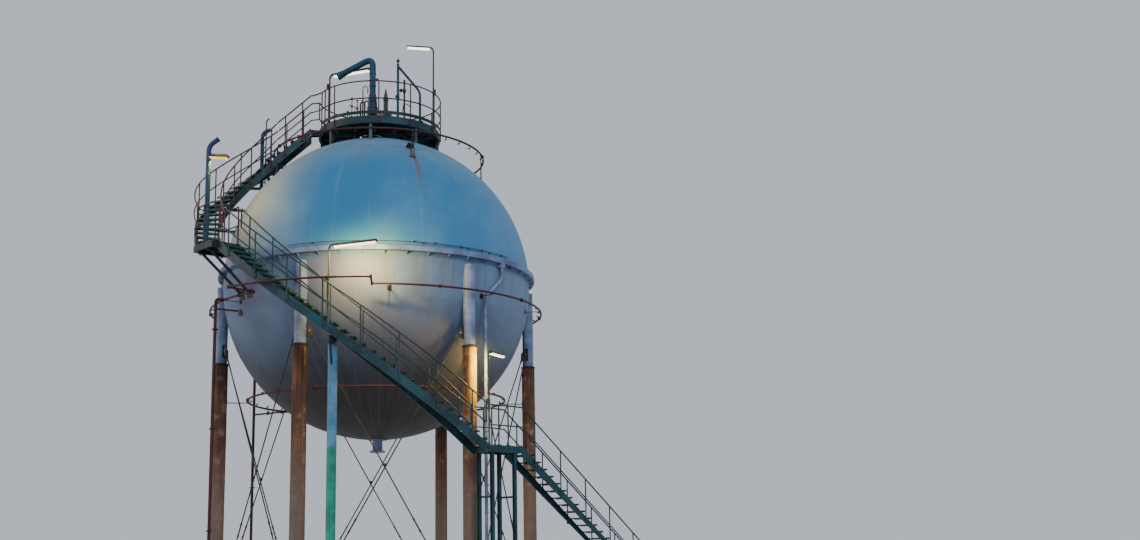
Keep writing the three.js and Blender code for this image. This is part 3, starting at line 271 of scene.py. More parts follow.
def rounded(points, bend, steps=6):
    """Points with their corners rounded to a bend."""
    points = [Vector(p) for p in points]
    result = [points[0]]
    for before, corner, after in zip(points, points[1:], points[2:]):
        reach = min(bend, (before - corner).length * 0.48, (after - corner).length * 0.48)
        start = corner + (before - corner).normalized() * reach
        end = corner + (after - corner).normalized() * reach
        for t in spread(0, 1, steps):
            result.append(start * (1 - t) ** 2 + corner * 2 * t * (1 - t) + end * t * t)
    result.append(points[-1])
    return result


def shell_pad(body, bearing, height, size, finish=0):
    """A plate that lies on the shell."""
    reach = shell_radius(height)
    facing = outward(bearing) * reach + UP * (height - CENTRE)
    body.block(polar(reach, bearing, height) + facing.normalized() * 0.004, size, facing, UP, finish)


def shown(name, data, turn=None):
    """A new object in the scene, turned by a quaternion if one is given."""
    made = bpy.data.objects.new(name, data)
    if turn is not None:
        made.rotation_mode = "QUATERNION"
        made.rotation_quaternion = turn
    bpy.context.scene.collection.objects.link(made)
    return made


def piece(name, body, finishes, replaces=(), sharp=35):
    """Makes the object from a body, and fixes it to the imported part."""
    mesh = bpy.data.meshes.new(name)
    mesh.from_pydata([tuple(p) for p in body.points], [], body.faces)
    for finish in finishes:
        mesh.materials.append(finish)
    mesh.polygons.foreach_set("material_index", body.finishes)
    mesh.polygons.foreach_set("use_smooth", [True] * len(mesh.polygons))
    mesh.validate()
    made = shown(name, mesh)
    bpy.context.view_layer.objects.active = made
    made.select_set(True)
    bpy.ops.object.mode_set(mode="EDIT")
    bpy.ops.mesh.select_all(action="SELECT")
    bpy.ops.mesh.normals_make_consistent(inside=False)
    bpy.ops.object.mode_set(mode="OBJECT")
    made.select_set(False)
    mesh.set_sharp_from_angle(angle=math.radians(sharp))
    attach(made, "root")
    if replaces:
        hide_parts(*replaces)


# Finishes


def tone(text):
    """A linear colour from a six-digit sRGB one."""
    shares = [int(text[i : i + 2], 16) / 255 for i in (0, 2, 4)]
    return tuple(s / 12.92 if s <= 0.04045 else ((s + 0.055) / 1.055) ** 2.4 for s in shares) + (1,)


class Link:
    """A shader socket that takes part in sums."""

    def __init__(self, paint, socket):
        self.paint = paint
        self.socket = socket

    def math(self, operation, *values):
        return self.paint.node("ShaderNodeMath", {"operation": operation}, values)

    def __add__(self, other):
        return self.math("ADD", self, other)

    def __radd__(self, other):
        return self.math("ADD", other, self)

    def __sub__(self, other):
        return self.math("SUBTRACT", self, other)

    def __rsub__(self, other):
        return self.math("SUBTRACT", other, self)

    def __mul__(self, other):
        return self.math("MULTIPLY", self, other)

    def __truediv__(self, other):
        return self.math("DIVIDE", self, other)

    def __pow__(self, other):
        return self.math("POWER", self, other)

    def ramp(self, start, end):
        """0 at start and 1 at end, eased between them and level beyond them."""
        limits = (start, end, 0.0, 1.0) if start < end else (end, start, 1.0, 0.0)
        return self.paint.node("ShaderNodeMapRange", {"interpolation_type": "SMOOTHSTEP"}, (self, *limits))


class Paint:
    """One material while its nodes are set out."""

    def __init__(self, name):
        self.material = bpy.data.materials.new(name)
        self.material.use_nodes = True
        self.tree = self.material.node_tree
        self.tree.nodes.clear()
        self.shader = self.tree.nodes.new("ShaderNodeBsdfPrincipled")
        output = self.tree.nodes.new("ShaderNodeOutputMaterial")
        self.tree.links.new(self.shader.outputs[0], output.inputs["Surface"])
        self.place = self.node("ShaderNodeTexCoord", output="Object")
        self.x, self.y, self.z = self.split(self.place)

    def node(self, kind, settings=None, sockets=(), output=0):
        """Any node: its settings, then the values or links of its sockets, and one output."""
        made = self.tree.nodes.new(kind)
        for key, value in (settings or {}).items():
            setattr(made, key, value)
        pairs = sockets.items() if isinstance(sockets, dict) else enumerate(sockets)
        for key, value in pairs:
            self.connect(made.inputs[key], value)
        return Link(self, made.outputs[output])

    def connect(self, socket, value):
        if isinstance(value, Link):
            self.tree.links.new(value.socket, socket)
        else:
            socket.default_value = value

    def set(self, **values):
        for name, value in values.items():
            self.connect(self.shader.inputs[name.replace("_", " ")], value)

    def split(self, vector):
        parts = self.node("ShaderNodeSeparateXYZ", sockets=[vector])
        return [Link(self, parts.socket.node.outputs[i]) for i in range(3)]

    def join(self, x, y, z):
        return self.node("ShaderNodeCombineXYZ", sockets=[x, y, z])

    def noise(self, scale, detail, roughness=0.55, vector=None):
        sockets = {"Vector": vector or self.place, "Scale": scale, "Detail": detail, "Roughness": roughness}
        return self.node("ShaderNodeTexNoise", sockets=sockets)

    def streaks(self, width, length, detail=3.0):
        """Noise drawn out down the height, for run-off. Width and length are in metres."""
        return self.noise(1.0, detail, 0.6, self.join(self.x / width, self.y / width, self.z / length))

    def mix(self, share, first, second):
        """A colour between two, by a share from 0 to 1."""
        sockets = {0: share, 6: first, 7: second}
        return self.node("ShaderNodeMix", {"data_type": "RGBA", "clamp_factor": True}, sockets, output=2)

    def begin(self, share, first, second):
        """The ground colour, between two."""
        self.base = self.mix(share, tone(first), tone(second))

    def over(self, share, colour):
        """Lays a colour over what is there, by a share from 0 to 1."""
        self.base = self.mix(share, self.base, tone(colour))

    def relief(self, height, strength, distance):
        sockets = {"Height": height, "Strength": strength, "Distance": distance}
        self.set(Normal=self.node("ShaderNodeBump", sockets=sockets))

    def done(self, roughness, specular=0.5, metallic=0.0):
        self.set(Base_Color=self.base, Roughness=roughness, Metallic=metallic, Specular_IOR_Level=specular)
        return self.material


def shell_finish():
    """White paint with a painted reflection of the sky above and the ground below, painted light at its sides and
    top, painted shade under it, and run-off, grime and rust.
    """
    paint = Paint("shell_weathered_white")
    x = (paint.x - AXIS_X) / RADIUS
    y = (paint.y - AXIS_Y) / RADIUS
    z = (paint.z - CENTRE) / RADIUS
    plan = (x * x + y * y) ** 0.5 + 0.0001
    streaks = paint.noise(1.0, 5.0, 0.62, paint.join(x / plan * 9, y / plan * 9, z * 0.7))
    fine_streaks = paint.noise(1.0, 4.0, 0.6, paint.join(x / plan * 42, y / plan * 42, z * 1.3))
    clouds = paint.noise(0.34, 5.0, 0.6)
    blotches = paint.noise(1.9, 6.0, 0.65)
    specks = paint.noise(19.0, 3.0, 0.7)
    bearing = x.math("ARCTAN2", x, y * -1) * (180 / math.pi)

    # Painted reflection: the upper half takes the blue of the sky, the lower half the grey of the ground
    paint.begin(z.ramp(-0.02, 0.05), "454d68", "1b5d86")
    paint.over(clouds.ramp(0.4, 0.72) * 0.42, "5b86a3")
    paint.over(blotches.ramp(0.5, 0.75) * z.ramp(0.0, 0.2) * 0.35, "1d5983")
    # Painted light: the top is greyer
    paint.over(z.ramp(0.55, 0.98) * 0.5, "5b7486")
    # Painted light: the sides are paler, beige on the left and a washed blue on the right
    paint.over(bearing.ramp(-10, -64) * bearing.ramp(-178, -95) * z.ramp(-0.04, 0.12) * 0.62, "8a857e")
    paint.over(bearing.ramp(32, 80) * bearing.ramp(178, 95) * 0.4, "6a87a1")
    paint.over(streaks.ramp(0.5, 0.76) * 0.5 * z.ramp(-0.75, 0.9), "3f6076")
    paint.over(fine_streaks.ramp(0.56, 0.8) * 0.14, "8299a6")
    # Painted shade darkens the vessel towards its bottom, with grime blotches and streaks over it
    paint.over(z.ramp(-0.14, -0.84) * 0.95, "201a18")
    paint.over(blotches.ramp(0.52, 0.78) * z.ramp(-0.1, -0.8) * 0.6, "19120f")
    paint.over(fine_streaks.ramp(0.5, 0.7) * z.ramp(0.0, -0.4) * 0.4, "4c4a4c")
    # Run-off below the gutter's lip and a brown tide mark over it
    paint.over(z.ramp(-0.34, 0.02) * z.ramp(0.03, 0.02) * streaks.ramp(0.48, 0.7) * 0.55, "4b4744")
    paint.over(z.ramp(0.13, 0.04) * z.ramp(0.02, 0.03) * fine_streaks.ramp(0.42, 0.62) * 0.6, "5c5550")
    # Rust that runs down from the platform's eight struts
    struts = x.math("COSINE", bearing * (8 * math.pi / 180)).ramp(0.8, 0.99)
    runs = struts * z.ramp(0.45, 0.86) * z.ramp(0.93, 0.9) * fine_streaks.ramp(0.4, 0.62)
    paint.over(runs * 0.45, "5f5148")
    # The long rust run below the lifting lugs, and a grey one under a clip of the middle ring
    wander = (paint.noise(3.0, 2.0) - 0.5) * 0.9
    trail = (bearing - 22.3 - z * 6.0 + wander) / (2.5 - z * 1.0)
    mark = x.math("ABSOLUTE", trail).ramp(1.0, 0.15) * z.ramp(0.36, 0.72) * z.ramp(0.825, 0.81)
    paint.over(mark * blotches.ramp(0.15, 0.4) * 0.85, "5f3d28")
    trail = (bearing - 12.2 + wander) / 0.8
    mark = x.math("ABSOLUTE", trail).ramp(1.0, 0.1) * z.ramp(-0.36, -0.2) * z.ramp(-0.175, -0.19)
    paint.over(mark * 0.8, "2c2e31")
    # Small rust blooms where the paint is chipped
    paint.over(specks.ramp(0.68, 0.76) * blotches.ramp(0.5, 0.64) * 0.75, "5f3a26")

    paint.relief(blotches * 0.5 + specks * 0.25, 0.3, 0.006)
    return paint.done(0.56 + clouds * 0.18 + streaks.ramp(0.5, 0.8) * 0.14, 0.3)


def painted_steel(name, colour, dark, pale, rust=0.3, rough=0.5):
    """Weathered paint on steel: uneven colour, dust, run-off and rust where it is chipped."""
    paint = Paint(name)
    clouds = paint.noise(1.3, 5.0, 0.6)
    grime = paint.streaks(0.09, 0.9)
    specks = paint.noise(34.0, 4.0, 0.7)
    patches = paint.noise(5.5, 5.0, 0.65)
    normal_z = paint.split(paint.node("ShaderNodeNewGeometry", output="Normal"))[2]

    paint.begin(clouds.ramp(0.32, 0.7), dark, colour)
    paint.over(patches.ramp(0.55, 0.8) * 0.45, pale)
    paint.over(grime.ramp(0.5, 0.74) * 0.4, dark)
    paint.over(normal_z.ramp(0.4, 0.95) * 0.22 * patches.ramp(0.3, 0.6), "6c6e68")
    worn = patches.ramp(0.6, 0.7) * specks.ramp(0.5, 0.62)
    paint.over(worn * rust * 2.4, "5c3520")
    paint.over(worn * specks.ramp(0.62, 0.7) * rust, "3c2114")
    paint.relief(specks * 0.4 + worn * -0.6, 0.35, 0.002)
    return paint.done(rough + worn * 0.3 + clouds * 0.12, 0.22)


def casing_finish():
    """Brown stained concrete: patches, run-off, form joints, a greyer foot, and a painted pool of yellow lamp
    light on one side.
    """
    paint = Paint("casing_stained_concrete")
    clouds = paint.noise(1.1, 6.0, 0.62)
    patches = paint.noise(3.4, 6.0, 0.68)
    runs = paint.streaks(0.07, 1.6, 5.0)
    grains = paint.noise(60.0, 5.0, 0.75)
    pits = paint.node("ShaderNodeTexVoronoi", {"feature": "F1"}, {"Vector": paint.place, "Scale": 26.0})
    height = paint.z

    paint.begin(clouds.ramp(0.35, 0.66), "3f2d26", "5c3f2e")
    paint.over(patches.ramp(0.5, 0.7) * 0.75, "7b695e")
    paint.over(runs.ramp(0.46, 0.68) * 0.75, "271a15")
    paint.over(height.ramp(5.6, 3.2) * 0.6, "5f544e")
    paint.over(height.ramp(7.0, 7.8) * runs.ramp(0.4, 0.6) * 0.7, "211713")
    paint.over(height.ramp(0.7, 0.05) * 0.5, "332c28")
    paint.over(grains.ramp(0.58, 0.78) * 0.35, "94857a")
    # Painted light: a yellow pool of the landing lamp's light on the side of the second casing that faces the lamp
    painted_lamp_glow = (paint.x - 1.336).ramp(-0.03, 0.1) * paint.x.ramp(1.9, 1.7)
    painted_lamp_glow = painted_lamp_glow * height.ramp(5.4, 7.0) * height.ramp(7.9, 7.84)
    paint.over(painted_lamp_glow * clouds.ramp(0.2, 0.5) * 0.85, "8f7d1c")
    joint = height.math("PINGPONG", height, FORM_HEIGHT).ramp(0.012, 0.0)
    paint.relief(patches * 0.8 + grains * 0.5 + pits.ramp(0.0, 0.16) * 0.5 - joint * 0.8, 0.7, 0.012)
    return paint.done(0.82 + grains * 0.15, 0.15)


def prop_finish():
    """The stair's prop: pale blue above and emerald green below, both weathered."""
    paint = Paint("prop_two_tone_paint")
    clouds = paint.noise(1.6, 5.0, 0.6)
    grime = paint.streaks(0.06, 1.0, 5.0)
    specks = paint.noise(30.0, 4.0, 0.7)
    edge = (paint.z + (clouds - 0.5) * 0.12).ramp(PROP_CHANGE - 0.02, PROP_CHANGE + 0.02)
    uneven = clouds.ramp(0.35, 0.65)
    blue, green = (paint.mix(uneven, tone(a), tone(b)) for a, b in (("2b5876", "45738f"), ("0a5a4c", "157a66")))
    paint.base = paint.mix(edge, green, blue)
    paint.over(grime.ramp(0.5, 0.75) * 0.45, "223440")
    paint.over(specks.ramp(0.64, 0.74) * grime.ramp(0.45, 0.6) * 0.8, "70482c")
    paint.over(paint.z.ramp(0.6, 0.0) * 0.5, "4a3a2c")
    paint.relief(specks * 0.5 + clouds * 0.3, 0.3, 0.003)
    return paint.done(0.48 + grime * 0.2, 0.25)


def deck_finish():
    """Chequered plate under teal paint, worn bare in patches."""
    paint = Paint("deck_chequered_teal")
    clouds = paint.noise(1.7, 5.0, 0.6)
    patches = paint.noise(6.0, 5.0, 0.65)
    specks = paint.noise(40.0, 4.0, 0.7)
    ribs, other = (line.math("SINE", line * 105.0) for line in (paint.x + paint.y, paint.x - paint.y))
    lozenges = (ribs * other).ramp(0.35, 0.75)
    paint.begin(clouds.ramp(0.3, 0.7), "0b2a2e", "154347")
    paint.over(patches.ramp(0.5, 0.75) * 0.4, "3d4a46")
    paint.over(specks.ramp(0.58, 0.7) * patches.ramp(0.5, 0.62) * 0.8, "6d432a")
    paint.over(lozenges * 0.2, "5d6b68")
    paint.relief(lozenges + specks * 0.2, 0.5, 0.003)
    return paint.done(0.55 + patches * 0.2, 0.22)


def bare_steel():
    """Galvanised bolts and fittings, dulled and spotted with rust."""
    paint = Paint("galvanised_dull")
    clouds = paint.noise(8.0, 4.0, 0.6)
    specks = paint.noise(60.0, 4.0, 0.7)
    rusted = specks.ramp(0.52, 0.64) * clouds.ramp(0.4, 0.55)
    paint.begin(clouds.ramp(0.35, 0.65), "55595c", "787d7f")
    paint.over(rusted, "6c4127")
    paint.relief(specks, 0.3, 0.001)
    return paint.done(0.45 + rusted * 0.4, metallic=0.7 - rusted * 0.6)


def glow(name, colour, strength):
    """A lamp's lit tube, with slight ripples in its light."""
    paint = Paint(name)
    lit = paint.mix(paint.noise(2.0, 2.0, 0.5).ramp(0.3, 0.7) * 0.15, tone(colour), (1.0, 0.98, 0.9, 1))
    paint.set(Base_Color=lit, Roughness=0.35, Emission_Color=lit, Emission_Strength=strength)
    return paint.material


SHELL = shell_finish()
LEG = painted_steel("leg_white_paint", "67769a", "414d68", "8d99b0", rust=0.2, rough=0.45)
COLLAR = painted_steel("collar_dark_band", "2a2422", "171312", "423229", rust=0.4, rough=0.7)
CASING = casing_finish()
TEAL = painted_steel("teal_steel_paint", "0e3841", "071f26", "34595d", rust=0.3)
DARK_TEAL = painted_steel("deep_teal_paint", "0b282e", "051519", "1f474c", rust=0.25)
GREEN_RAIL = painted_steel("green_rail_paint", "0e3238", "071e22", "2a4e52", rust=0.2)
MAROON_RAIL = painted_steel("maroon_rail_paint", "3a172a", "200c17", "58303f", rust=0.15)
STAY = painted_steel("stay_dark_red_paint", "30181c", "1b0e11", "45292b", rust=0.4)
SPRAY_RED = painted_steel("spray_red_paint", "3d0d1a", "24080f", "56212b", rust=0.15)
BRACE = painted_steel("brace_dark_paint", "2c2f34", "191b1e", "464a50", rust=0.35)
PALE_BLUE = painted_steel("strut_pale_blue_paint", "2f4a5a", "1b2b36", "4f6b7b", rust=0.3)
VALVE_BLUE = painted_steel("valve_dark_blue_paint", "11304e", "091b2e", "294b6b", rust=0.15)
VENT_PURPLE = painted_steel("vent_purple_blue_paint", "2d3a68", "1b2443", "475788", rust=0.14)
VENT_BLUE = painted_steel("vent_blue_paint", "0a3a50", "052330", "1c5a72", rust=0.16)
LAMP_OLIVE = painted_steel("lamp_olive_paint", "474932", "26281d", "6a6b50", rust=0.2)
POLE_GREY = painted_steel("pole_grey_green_paint", "3f4b47", "252d2b", "5f6b65", rust=0.25)
PROP = prop_finish()
CHEQUERED = deck_finish()
STEEL = bare_steel()
WHITE_GLOW = glow("lamp_white_glow", "fff0c4", 3.4)
YELLOW_GLOW = glow("lamp_yellow_glow", "f2c42c", 1.3)


# Vessel


def sphere_point(latitude, bearing):
    turn = math.radians(latitude)
    return polar(RADIUS * math.cos(turn), bearing, CENTRE + RADIUS * math.sin(turn))


def vessel():
    body = Body()
    around, rows = 180, 90
    points = []
    for i in range(1, rows):
        latitude = -90 + 180 * i / rows
        points += [sphere_point(latitude, 360 * j / around) for j in range(around)]
    bottom, top = len(points), len(points) + 1
    last = (rows - 2) * around
    faces = []
    for j in range(around):
        k = (j + 1) % around
        faces += [(i + j, i + k, i + around + k, i + around + j) for i in range(0, last, around)]
        faces += [(bottom, k, j), (top, last + j, last + k)]
    body.add([*points, sphere_point(-90, 0), sphere_point(90, 0)], faces)
    piece("vessel_shell", body, [SHELL],
          ["bottom_crown", "lower_course", "upper_course", "top_crown"])


def lifting_lugs():
    """A pair of plates on the crown, at the head of the long rust run."""
    body = Body()
    radius, foot_half, head_half, sunk, stand, thickness = 0.593 * RADIUS, 0.085, 0.03, 0.02, 0.17, 0.04
    for bearing in (26.1, 28.0):
        foot = polar(radius, bearing, shell_height(radius))
        out = (foot - MIDDLE).normalized()
        side = sideways(bearing)
        outline = [foot + side * a + out * b for a, b in ((-foot_half, -sunk), (foot_half, -sunk),
                                                          (head_half, stand), (-head_half, stand))]
        body.slab(outline, out.cross(side).normalized() * thickness)
    piece("crown_lugs", body, [COLLAR])


def weld_seams():
    """Raised beads between the shell's plates."""
    body = Body()
    rise, half = 0.004, 0.013

    def bead(places):
        rings = []
        for i, (latitude, bearing) in enumerate(places):
            before, after = places[max(i - 1, 0)], places[min(i + 1, len(places) - 1)]
            along = (sphere_point(*after) - sphere_point(*before)).normalized()
            middle = sphere_point(latitude, bearing)
            out = (middle - MIDDLE).normalized()
            side = along.cross(out).normalized()
            rings.append([middle + out * up * rise + side * across * half
                          for across, up in ((-1, -1), (-0.6, 0.8), (0, 1), (0.6, 0.8), (1, -1))])
        body.loft(rings)

    for latitude in (-60, -28, 28, 60):
        bead([(latitude, b) for b in spread(0, 360, 180)])
    for low, high, count, start, steps in ((-60, -28, 16, 4, 14), (-28, 28, 20, 9, 14), (28, 60, 16, 11, 14),
                                           (-84, -60, 6, 30, 8), (60, 84, 6, 30, 8)):
        for k in range(count):
            bead([(latitude, start + 360 * k / count) for latitude in spread(low, high, steps)])
    piece("shell_weld_seams", body, [SHELL], sharp=70)


def gutter():
    lip, plate, rim, seat, edge = 0.148, 0.012, 5.123, RADIUS - 0.02, 0.01
    body = Body()
    body.hoop([(seat, 0), (rim, 0), (rim, lip), (rim - plate, lip), (rim - plate, plate), (seat, plate)],
              GUTTER_FLOOR, 180)
    # Rolled edge and the stiffeners beneath
    body.tube([polar(rim - edge, 3 * k, GUTTER_FLOOR + lip - edge) for k in range(120)], edge, 6, 1, joined=True)
    low, high = GUTTER_FLOOR - 0.11, GUTTER_FLOOR - 0.004
    for k in range(48):
        bearing = 3 + 7.5 * k
        corners = ((shell_radius(low) - 0.005, low), (rim - 0.03, high), (RADIUS - 0.01, high))
        body.slab([polar(r, bearing, z) for r, z in corners], sideways(bearing) * 0.01)
    piece("gutter_ring", body, [LEG, BRACE], ["rain_gutter", "front_gutter"])

    # A thin conduit on clips, higher on the shell
    body = Body()
    line = CENTRE + 0.44
    radius = shell_radius(line) + 0.035
    body.tube([polar(radius, b, line) for b in spread(-24, 62, 60)], 0.008, 6)
    for bearing in (-14.5, 6.2, 20.6, 23.8, 28.2, 38.5, 41.1, 47.6, 51.2, 58.1):
        high = line + dice.uniform(-0.03, 0.03)
        body.bar(radius - 0.018, bearing, high, (0.035, 0.06, 0.02))
        body.turned([(0.018, 0), (0.018, 0.035), (0.008, 0.04)], polar(radius, bearing, high), 8)
    piece("gutter_conduit", body, [DARK_TEAL])


def drain():
    body = Body()
    head, head_bearing, drop, drop_bearing = 1.022 * RADIUS, 56.5, 1.003 * RADIUS, 48.6
    route = [polar(head, head_bearing, GUTTER_FLOOR - 0.06), polar(head, head_bearing, CENTRE - 0.07 * RADIUS),
             polar(drop, drop_bearing, CENTRE - 0.2 * RADIUS), polar(drop, drop_bearing)]
    body.tube(rounded(route, 0.26, 8), 0.05, 20)
    body.block(polar(head, head_bearing, GUTTER_FLOOR - 0.066), (0.182, 0.13, 0.13), sideways(head_bearing))
    for height in (8.6, 7.0, 5.4, 3.8, 2.2, 0.7):
        place = polar(drop, drop_bearing, height)
        body.band(place, 0.058, 0.004, 0.025, 20)
        body.block(place + sideways(drop_bearing) * 0.075, (0.04, 0.03, 0.05), sideways(drop_bearing))
    for height in (6.2, 3.0):
        body.band(polar(drop, drop_bearing, height), 0.056, 0.004, 0.05, 20)
    piece("drain_line", body, [LEG], ["drain_pipe"])


def bottom_nozzle():
    body = Body()
    at = MIDDLE - UP * (RADIUS + 0.42)
    body.turned([(0.25, 0), (0.25, 0.04), (0.24, 0.045), (0.175, 0.045), (0.16, 0.075), (0.16, 0.44)], at, 40)
    body.turned([(0.3, 0.395), (0.3, 0.42), (0.29, 0.435)], at, 40)
    body.bolts(at + UP * 0.045, 12, 0.215, 0.02, 15)
    piece("bottom_nozzle", body, [LEG, STEEL], ["bottom_outlet"])


def leg_tube(foot, bearing):
    """A tube that is cut to the shell's curve, with its weld bead, a weld of its own and its base plate."""
    body = Body()
    sides, radius, top = 40, 0.178, CENTRE - 0.07
    crest, waist = [], []
    for k in range(sides):
        place = foot + round_about(k, sides) * radius
        reach = math.hypot(place.x - AXIS_X, place.y - AXIS_Y)
        meet = CENTRE - math.sqrt(RADIUS**2 - reach**2) if reach < RADIUS else top
        crest.append(Vector((place.x, place.y, min(meet, top))))
        waist.append(Vector((place.x, place.y, 0.02)))
    body.loft([waist, crest])
    line = [p for p in crest if p.z < top - 0.001]
    start = max(range(len(line)), key=lambda i: (line[i] - line[i - 1]).length)
    body.tube([p + outward(bearing) * 0.002 for p in line[start:] + line[:start]], 0.012, 6)
    body.block(foot + UP * 0.02, (0.72, 0.72, 0.04), outward(bearing))
    body.band(foot + UP * 8.88, radius, 0.006, 0.025, sides)
    return body


def leg_cover(foot):
    """A slightly uneven concrete casing under its dark collar."""
    body = Body()
    inner, outer, rim, low, high, shoulder, sides = 0.18, 0.215, 0.232, 0.0405, 7.925, 7.855, 36
    heights = [low, 0.055, *spread(0.3, shoulder - 0.02, 26), shoulder]
    rings = [[foot + round_about(k, sides) * inner + UP * low for k in range(sides)]]
    for height in heights:
        radius = outer - (0.008 if height in (low, shoulder) else 0)
        dents = [abs(0.0035 * math.sin(5.1 * height + 3 * k) * math.cos(2.3 * height + k * 1.7))
                 for k in range(sides)]
        rings.append([foot + round_about(k, sides) * (radius - dents[k]) + UP * height for k in range(sides)])
    rings.append([foot + round_about(k, sides) * inner + UP * shoulder for k in range(sides)])
    body.loft(rings, joined=True)
    body.turned([(inner, shoulder), (rim - 0.004, shoulder), (rim, shoulder + 0.006), (rim, high - 0.03),
                 (rim - 0.01, high - 0.015), (inner + 0.004, high), (inner, high)], foot, sides, 1, joined=True)
    return body


def legs():
    anchors = Body()
    for number, bearing in enumerate(LEG_BEARINGS, 1):
        foot = polar(RADIUS, bearing)
        piece(f"leg_tube_{number}", leg_tube(foot, bearing), [LEG], [f"leg_{number}"])
        piece(f"leg_cover_{number}", leg_cover(foot), [CASING, COLLAR],
              [f"leg_casing_{number}"], 50)
        anchors.bolts(foot + UP * 0.04, 4, 0.28 * math.sqrt(2), 0.032, bearing + 45, 0)
    piece("leg_anchor_bolts", anchors, [STEEL])


def gusset(body, leg, along, seat, length, depth, height):
    """A plate that stands out from a leg and narrows to the pin of its rod."""
    facing = UP.cross(along)
    neck, tip, half = seat + length * 0.4, seat + length, depth / 2
    outline = ((seat, half), (neck, half), (tip, depth * 0.24), (tip, -depth * 0.24), (neck, -half), (seat, -half))
    body.slab([leg + along * a + UP * (height + z) for a, z in outline], facing * 0.028)
    body.block(leg + along * (seat + 0.012) + UP * height, (0.014, 0.14, depth + 0.04), along)
    body.turned([(0.03, -0.04), (0.03, -0.032), (0.02, -0.03), (0.02, 0.03), (0.03, 0.032), (0.03, 0.04)],
                leg + along * (seat + length / 2) + UP * height, 12, 1, facing)


def bay_braces():
    # Each gusset's seat, length, depth and height
    high, low = (0.168, 0.19, 0.36, 8.3), (0.2, 0.26, 0.26, 0.45)
    for number, bearing in enumerate(LEG_BEARINGS, 1):
        here, there = polar(RADIUS, bearing), polar(RADIUS, bearing + 60)
        along = (there - here).normalized()
        facing = outward(bearing + 30)
        body = Body()
        for leg, way in ((here, 1), (there, -1)):
            for place in (high, low):
                gusset(body, leg, along * way, *place)
        for first, last, side in ((high, low, -1), (low, high, 1)):
            aside = facing * side * 0.013
            pins = [leg + way * (seat + length / 2) + UP * height
                    for leg, way, (seat, length, _, height) in ((here, along, first), (there, along * -1, last))]
            begin, end = (pin + aside for pin in pins)
            line = (end - begin).normalized()
            body.tube([begin + line * 0.1, end - line * 0.1], 0.02, 12)
            # Turnbuckle in the lower half, and a fork at each end
            body.turned([(0.021, -0.24), (0.034, -0.23), (0.034, -0.16), (0.026, -0.15),
                         (0.026, 0.15), (0.034, 0.16), (0.034, 0.23), (0.021, 0.24)],
                        begin.lerp(end, 0.72 if last == low else 0.28), 6, 0, line)
            for pin, corner, aim in ((pins[0], begin, line), (pins[1], end, line * -1)):
                for cheek in (-0.022, 0.022):
                    body.block(pin + aim * 0.07 + facing * cheek, (0.2, 0.012, 0.06), aim, facing.cross(aim))
                body.turned([(0.022, 0.14), (0.03, 0.15), (0.03, 0.22), (0.021, 0.24)], corner, 12, 0, aim)
        crossing = (here + there) / 2 + UP * (low[3] + high[3]) / 2
        body.turned([(0.06, -0.01), (0.06, 0.01)], crossing, 16, 0, facing)
        piece(f"brace_rods_{number}", body, [BRACE, STEEL], [f"bay_rods_{number}"])


# Spray water pipes

RING_TOP = (0.7 * RADIUS, CENTRE + 0.887 * RADIUS)
RING_MIDDLE = (1.08 * RADIUS - 0.014, CENTRE - 0.185 * RADIUS)
RING_LOWER = (0.83 * RADIUS, CENTRE - 0.755 * RADIUS)
RISER_RADIUS = 1.13 * RADIUS
RISER_BEARING, FEED_BEARING = -122, -52
SPRAY_PIPE, RISER_PIPE = 0.032, 0.048
TEE = 0.13  # reach of the stub towards the riser


def union(body, at, along, radius):
    """Two small flanges bolted together on a pipe."""
    wide = radius * 1.9
    body.turned([(radius, -0.02), (wide, -0.018), (wide, -0.003), (radius * 1.5, 0.0),
                 (wide, 0.003), (wide, 0.018), (radius, 0.02)], at, 16, 0, along)


def ring_unions(body, radius, height, bearings):
    for bearing in bearings:
        union(body, polar(radius, bearing, height), sideways(bearing), SPRAY_PIPE)


def nozzles(body, radius, height, first, step, count, lift=0.0):
    """Spray heads on short stubs, round a ring pipe and aimed at the vessel."""
    for k in range(count):
        at = polar(radius, first + step * k, height)
        aim = (MIDDLE - at + UP * lift).normalized()
        body.turned([(0.016, 0.0), (0.016, 0.06), (0.024, 0.062), (0.024, 0.09), (0.017, 0.094), (0.026, 0.125),
                     (0.02, 0.13)], at, 8, 0, aim)


def saddle(body, radius, bearing, height):
    """A hoop of round bar over a ring pipe."""
    reach, low, high = 0.036, height - 0.06, height + 0.036
    corners = ((-reach, low), (-reach, high), (reach, high), (reach, low))
    body.tube([polar(radius + r, bearing, z) for r, z in corners], 0.006, 6, 1)


def radial(body, first, last, height, pipe, sides):
    """A level branch at the riser's bearing."""
    body.tube([polar(first, RISER_BEARING, height), polar(last, RISER_BEARING, height)], pipe, sides)


def crown_spray():
    body = Body()
    radius, height = RING_TOP
    low = shell_height(radius)
    first, last = -68, 242
    body.tube([polar(radius, b, height) for b in spread(first, last, 104)], SPRAY_PIPE, 12)
    for bearing in (first, last):
        body.turned([(0.032, -0.02), (0.04, -0.016), (0.04, 0.016), (0.03, 0.024)], polar(radius, bearing, height),
                    12, 0, sideways(bearing))
    nozzles(body, radius, height, -64, 10, 31)
    stands = (-62, 25.7, 82, 136, 190, 239)
    for bearing in stands:
        for lean in (-1, 1):
            side = sideways(bearing) * lean
            body.tube([polar(radius, bearing, low - 0.01) + side * 0.055,
                       polar(radius, bearing, height - 0.02) + side * 0.018], 0.013, 8, 1)
        shell_pad(body, bearing, low, (0.018, 0.2, 0.12), 1)
        body.bar(radius, bearing, height - 0.035, (0.05, 0.09, 0.02), 1)
    ring_unions(body, radius, height, [b + 4 for b in stands])
    radial(body, radius, radius + TEE, height, 0.044, 16)
    piece("crown_spray_pipe", body, [SPRAY_RED, STAY], ["top_spray_ring"])


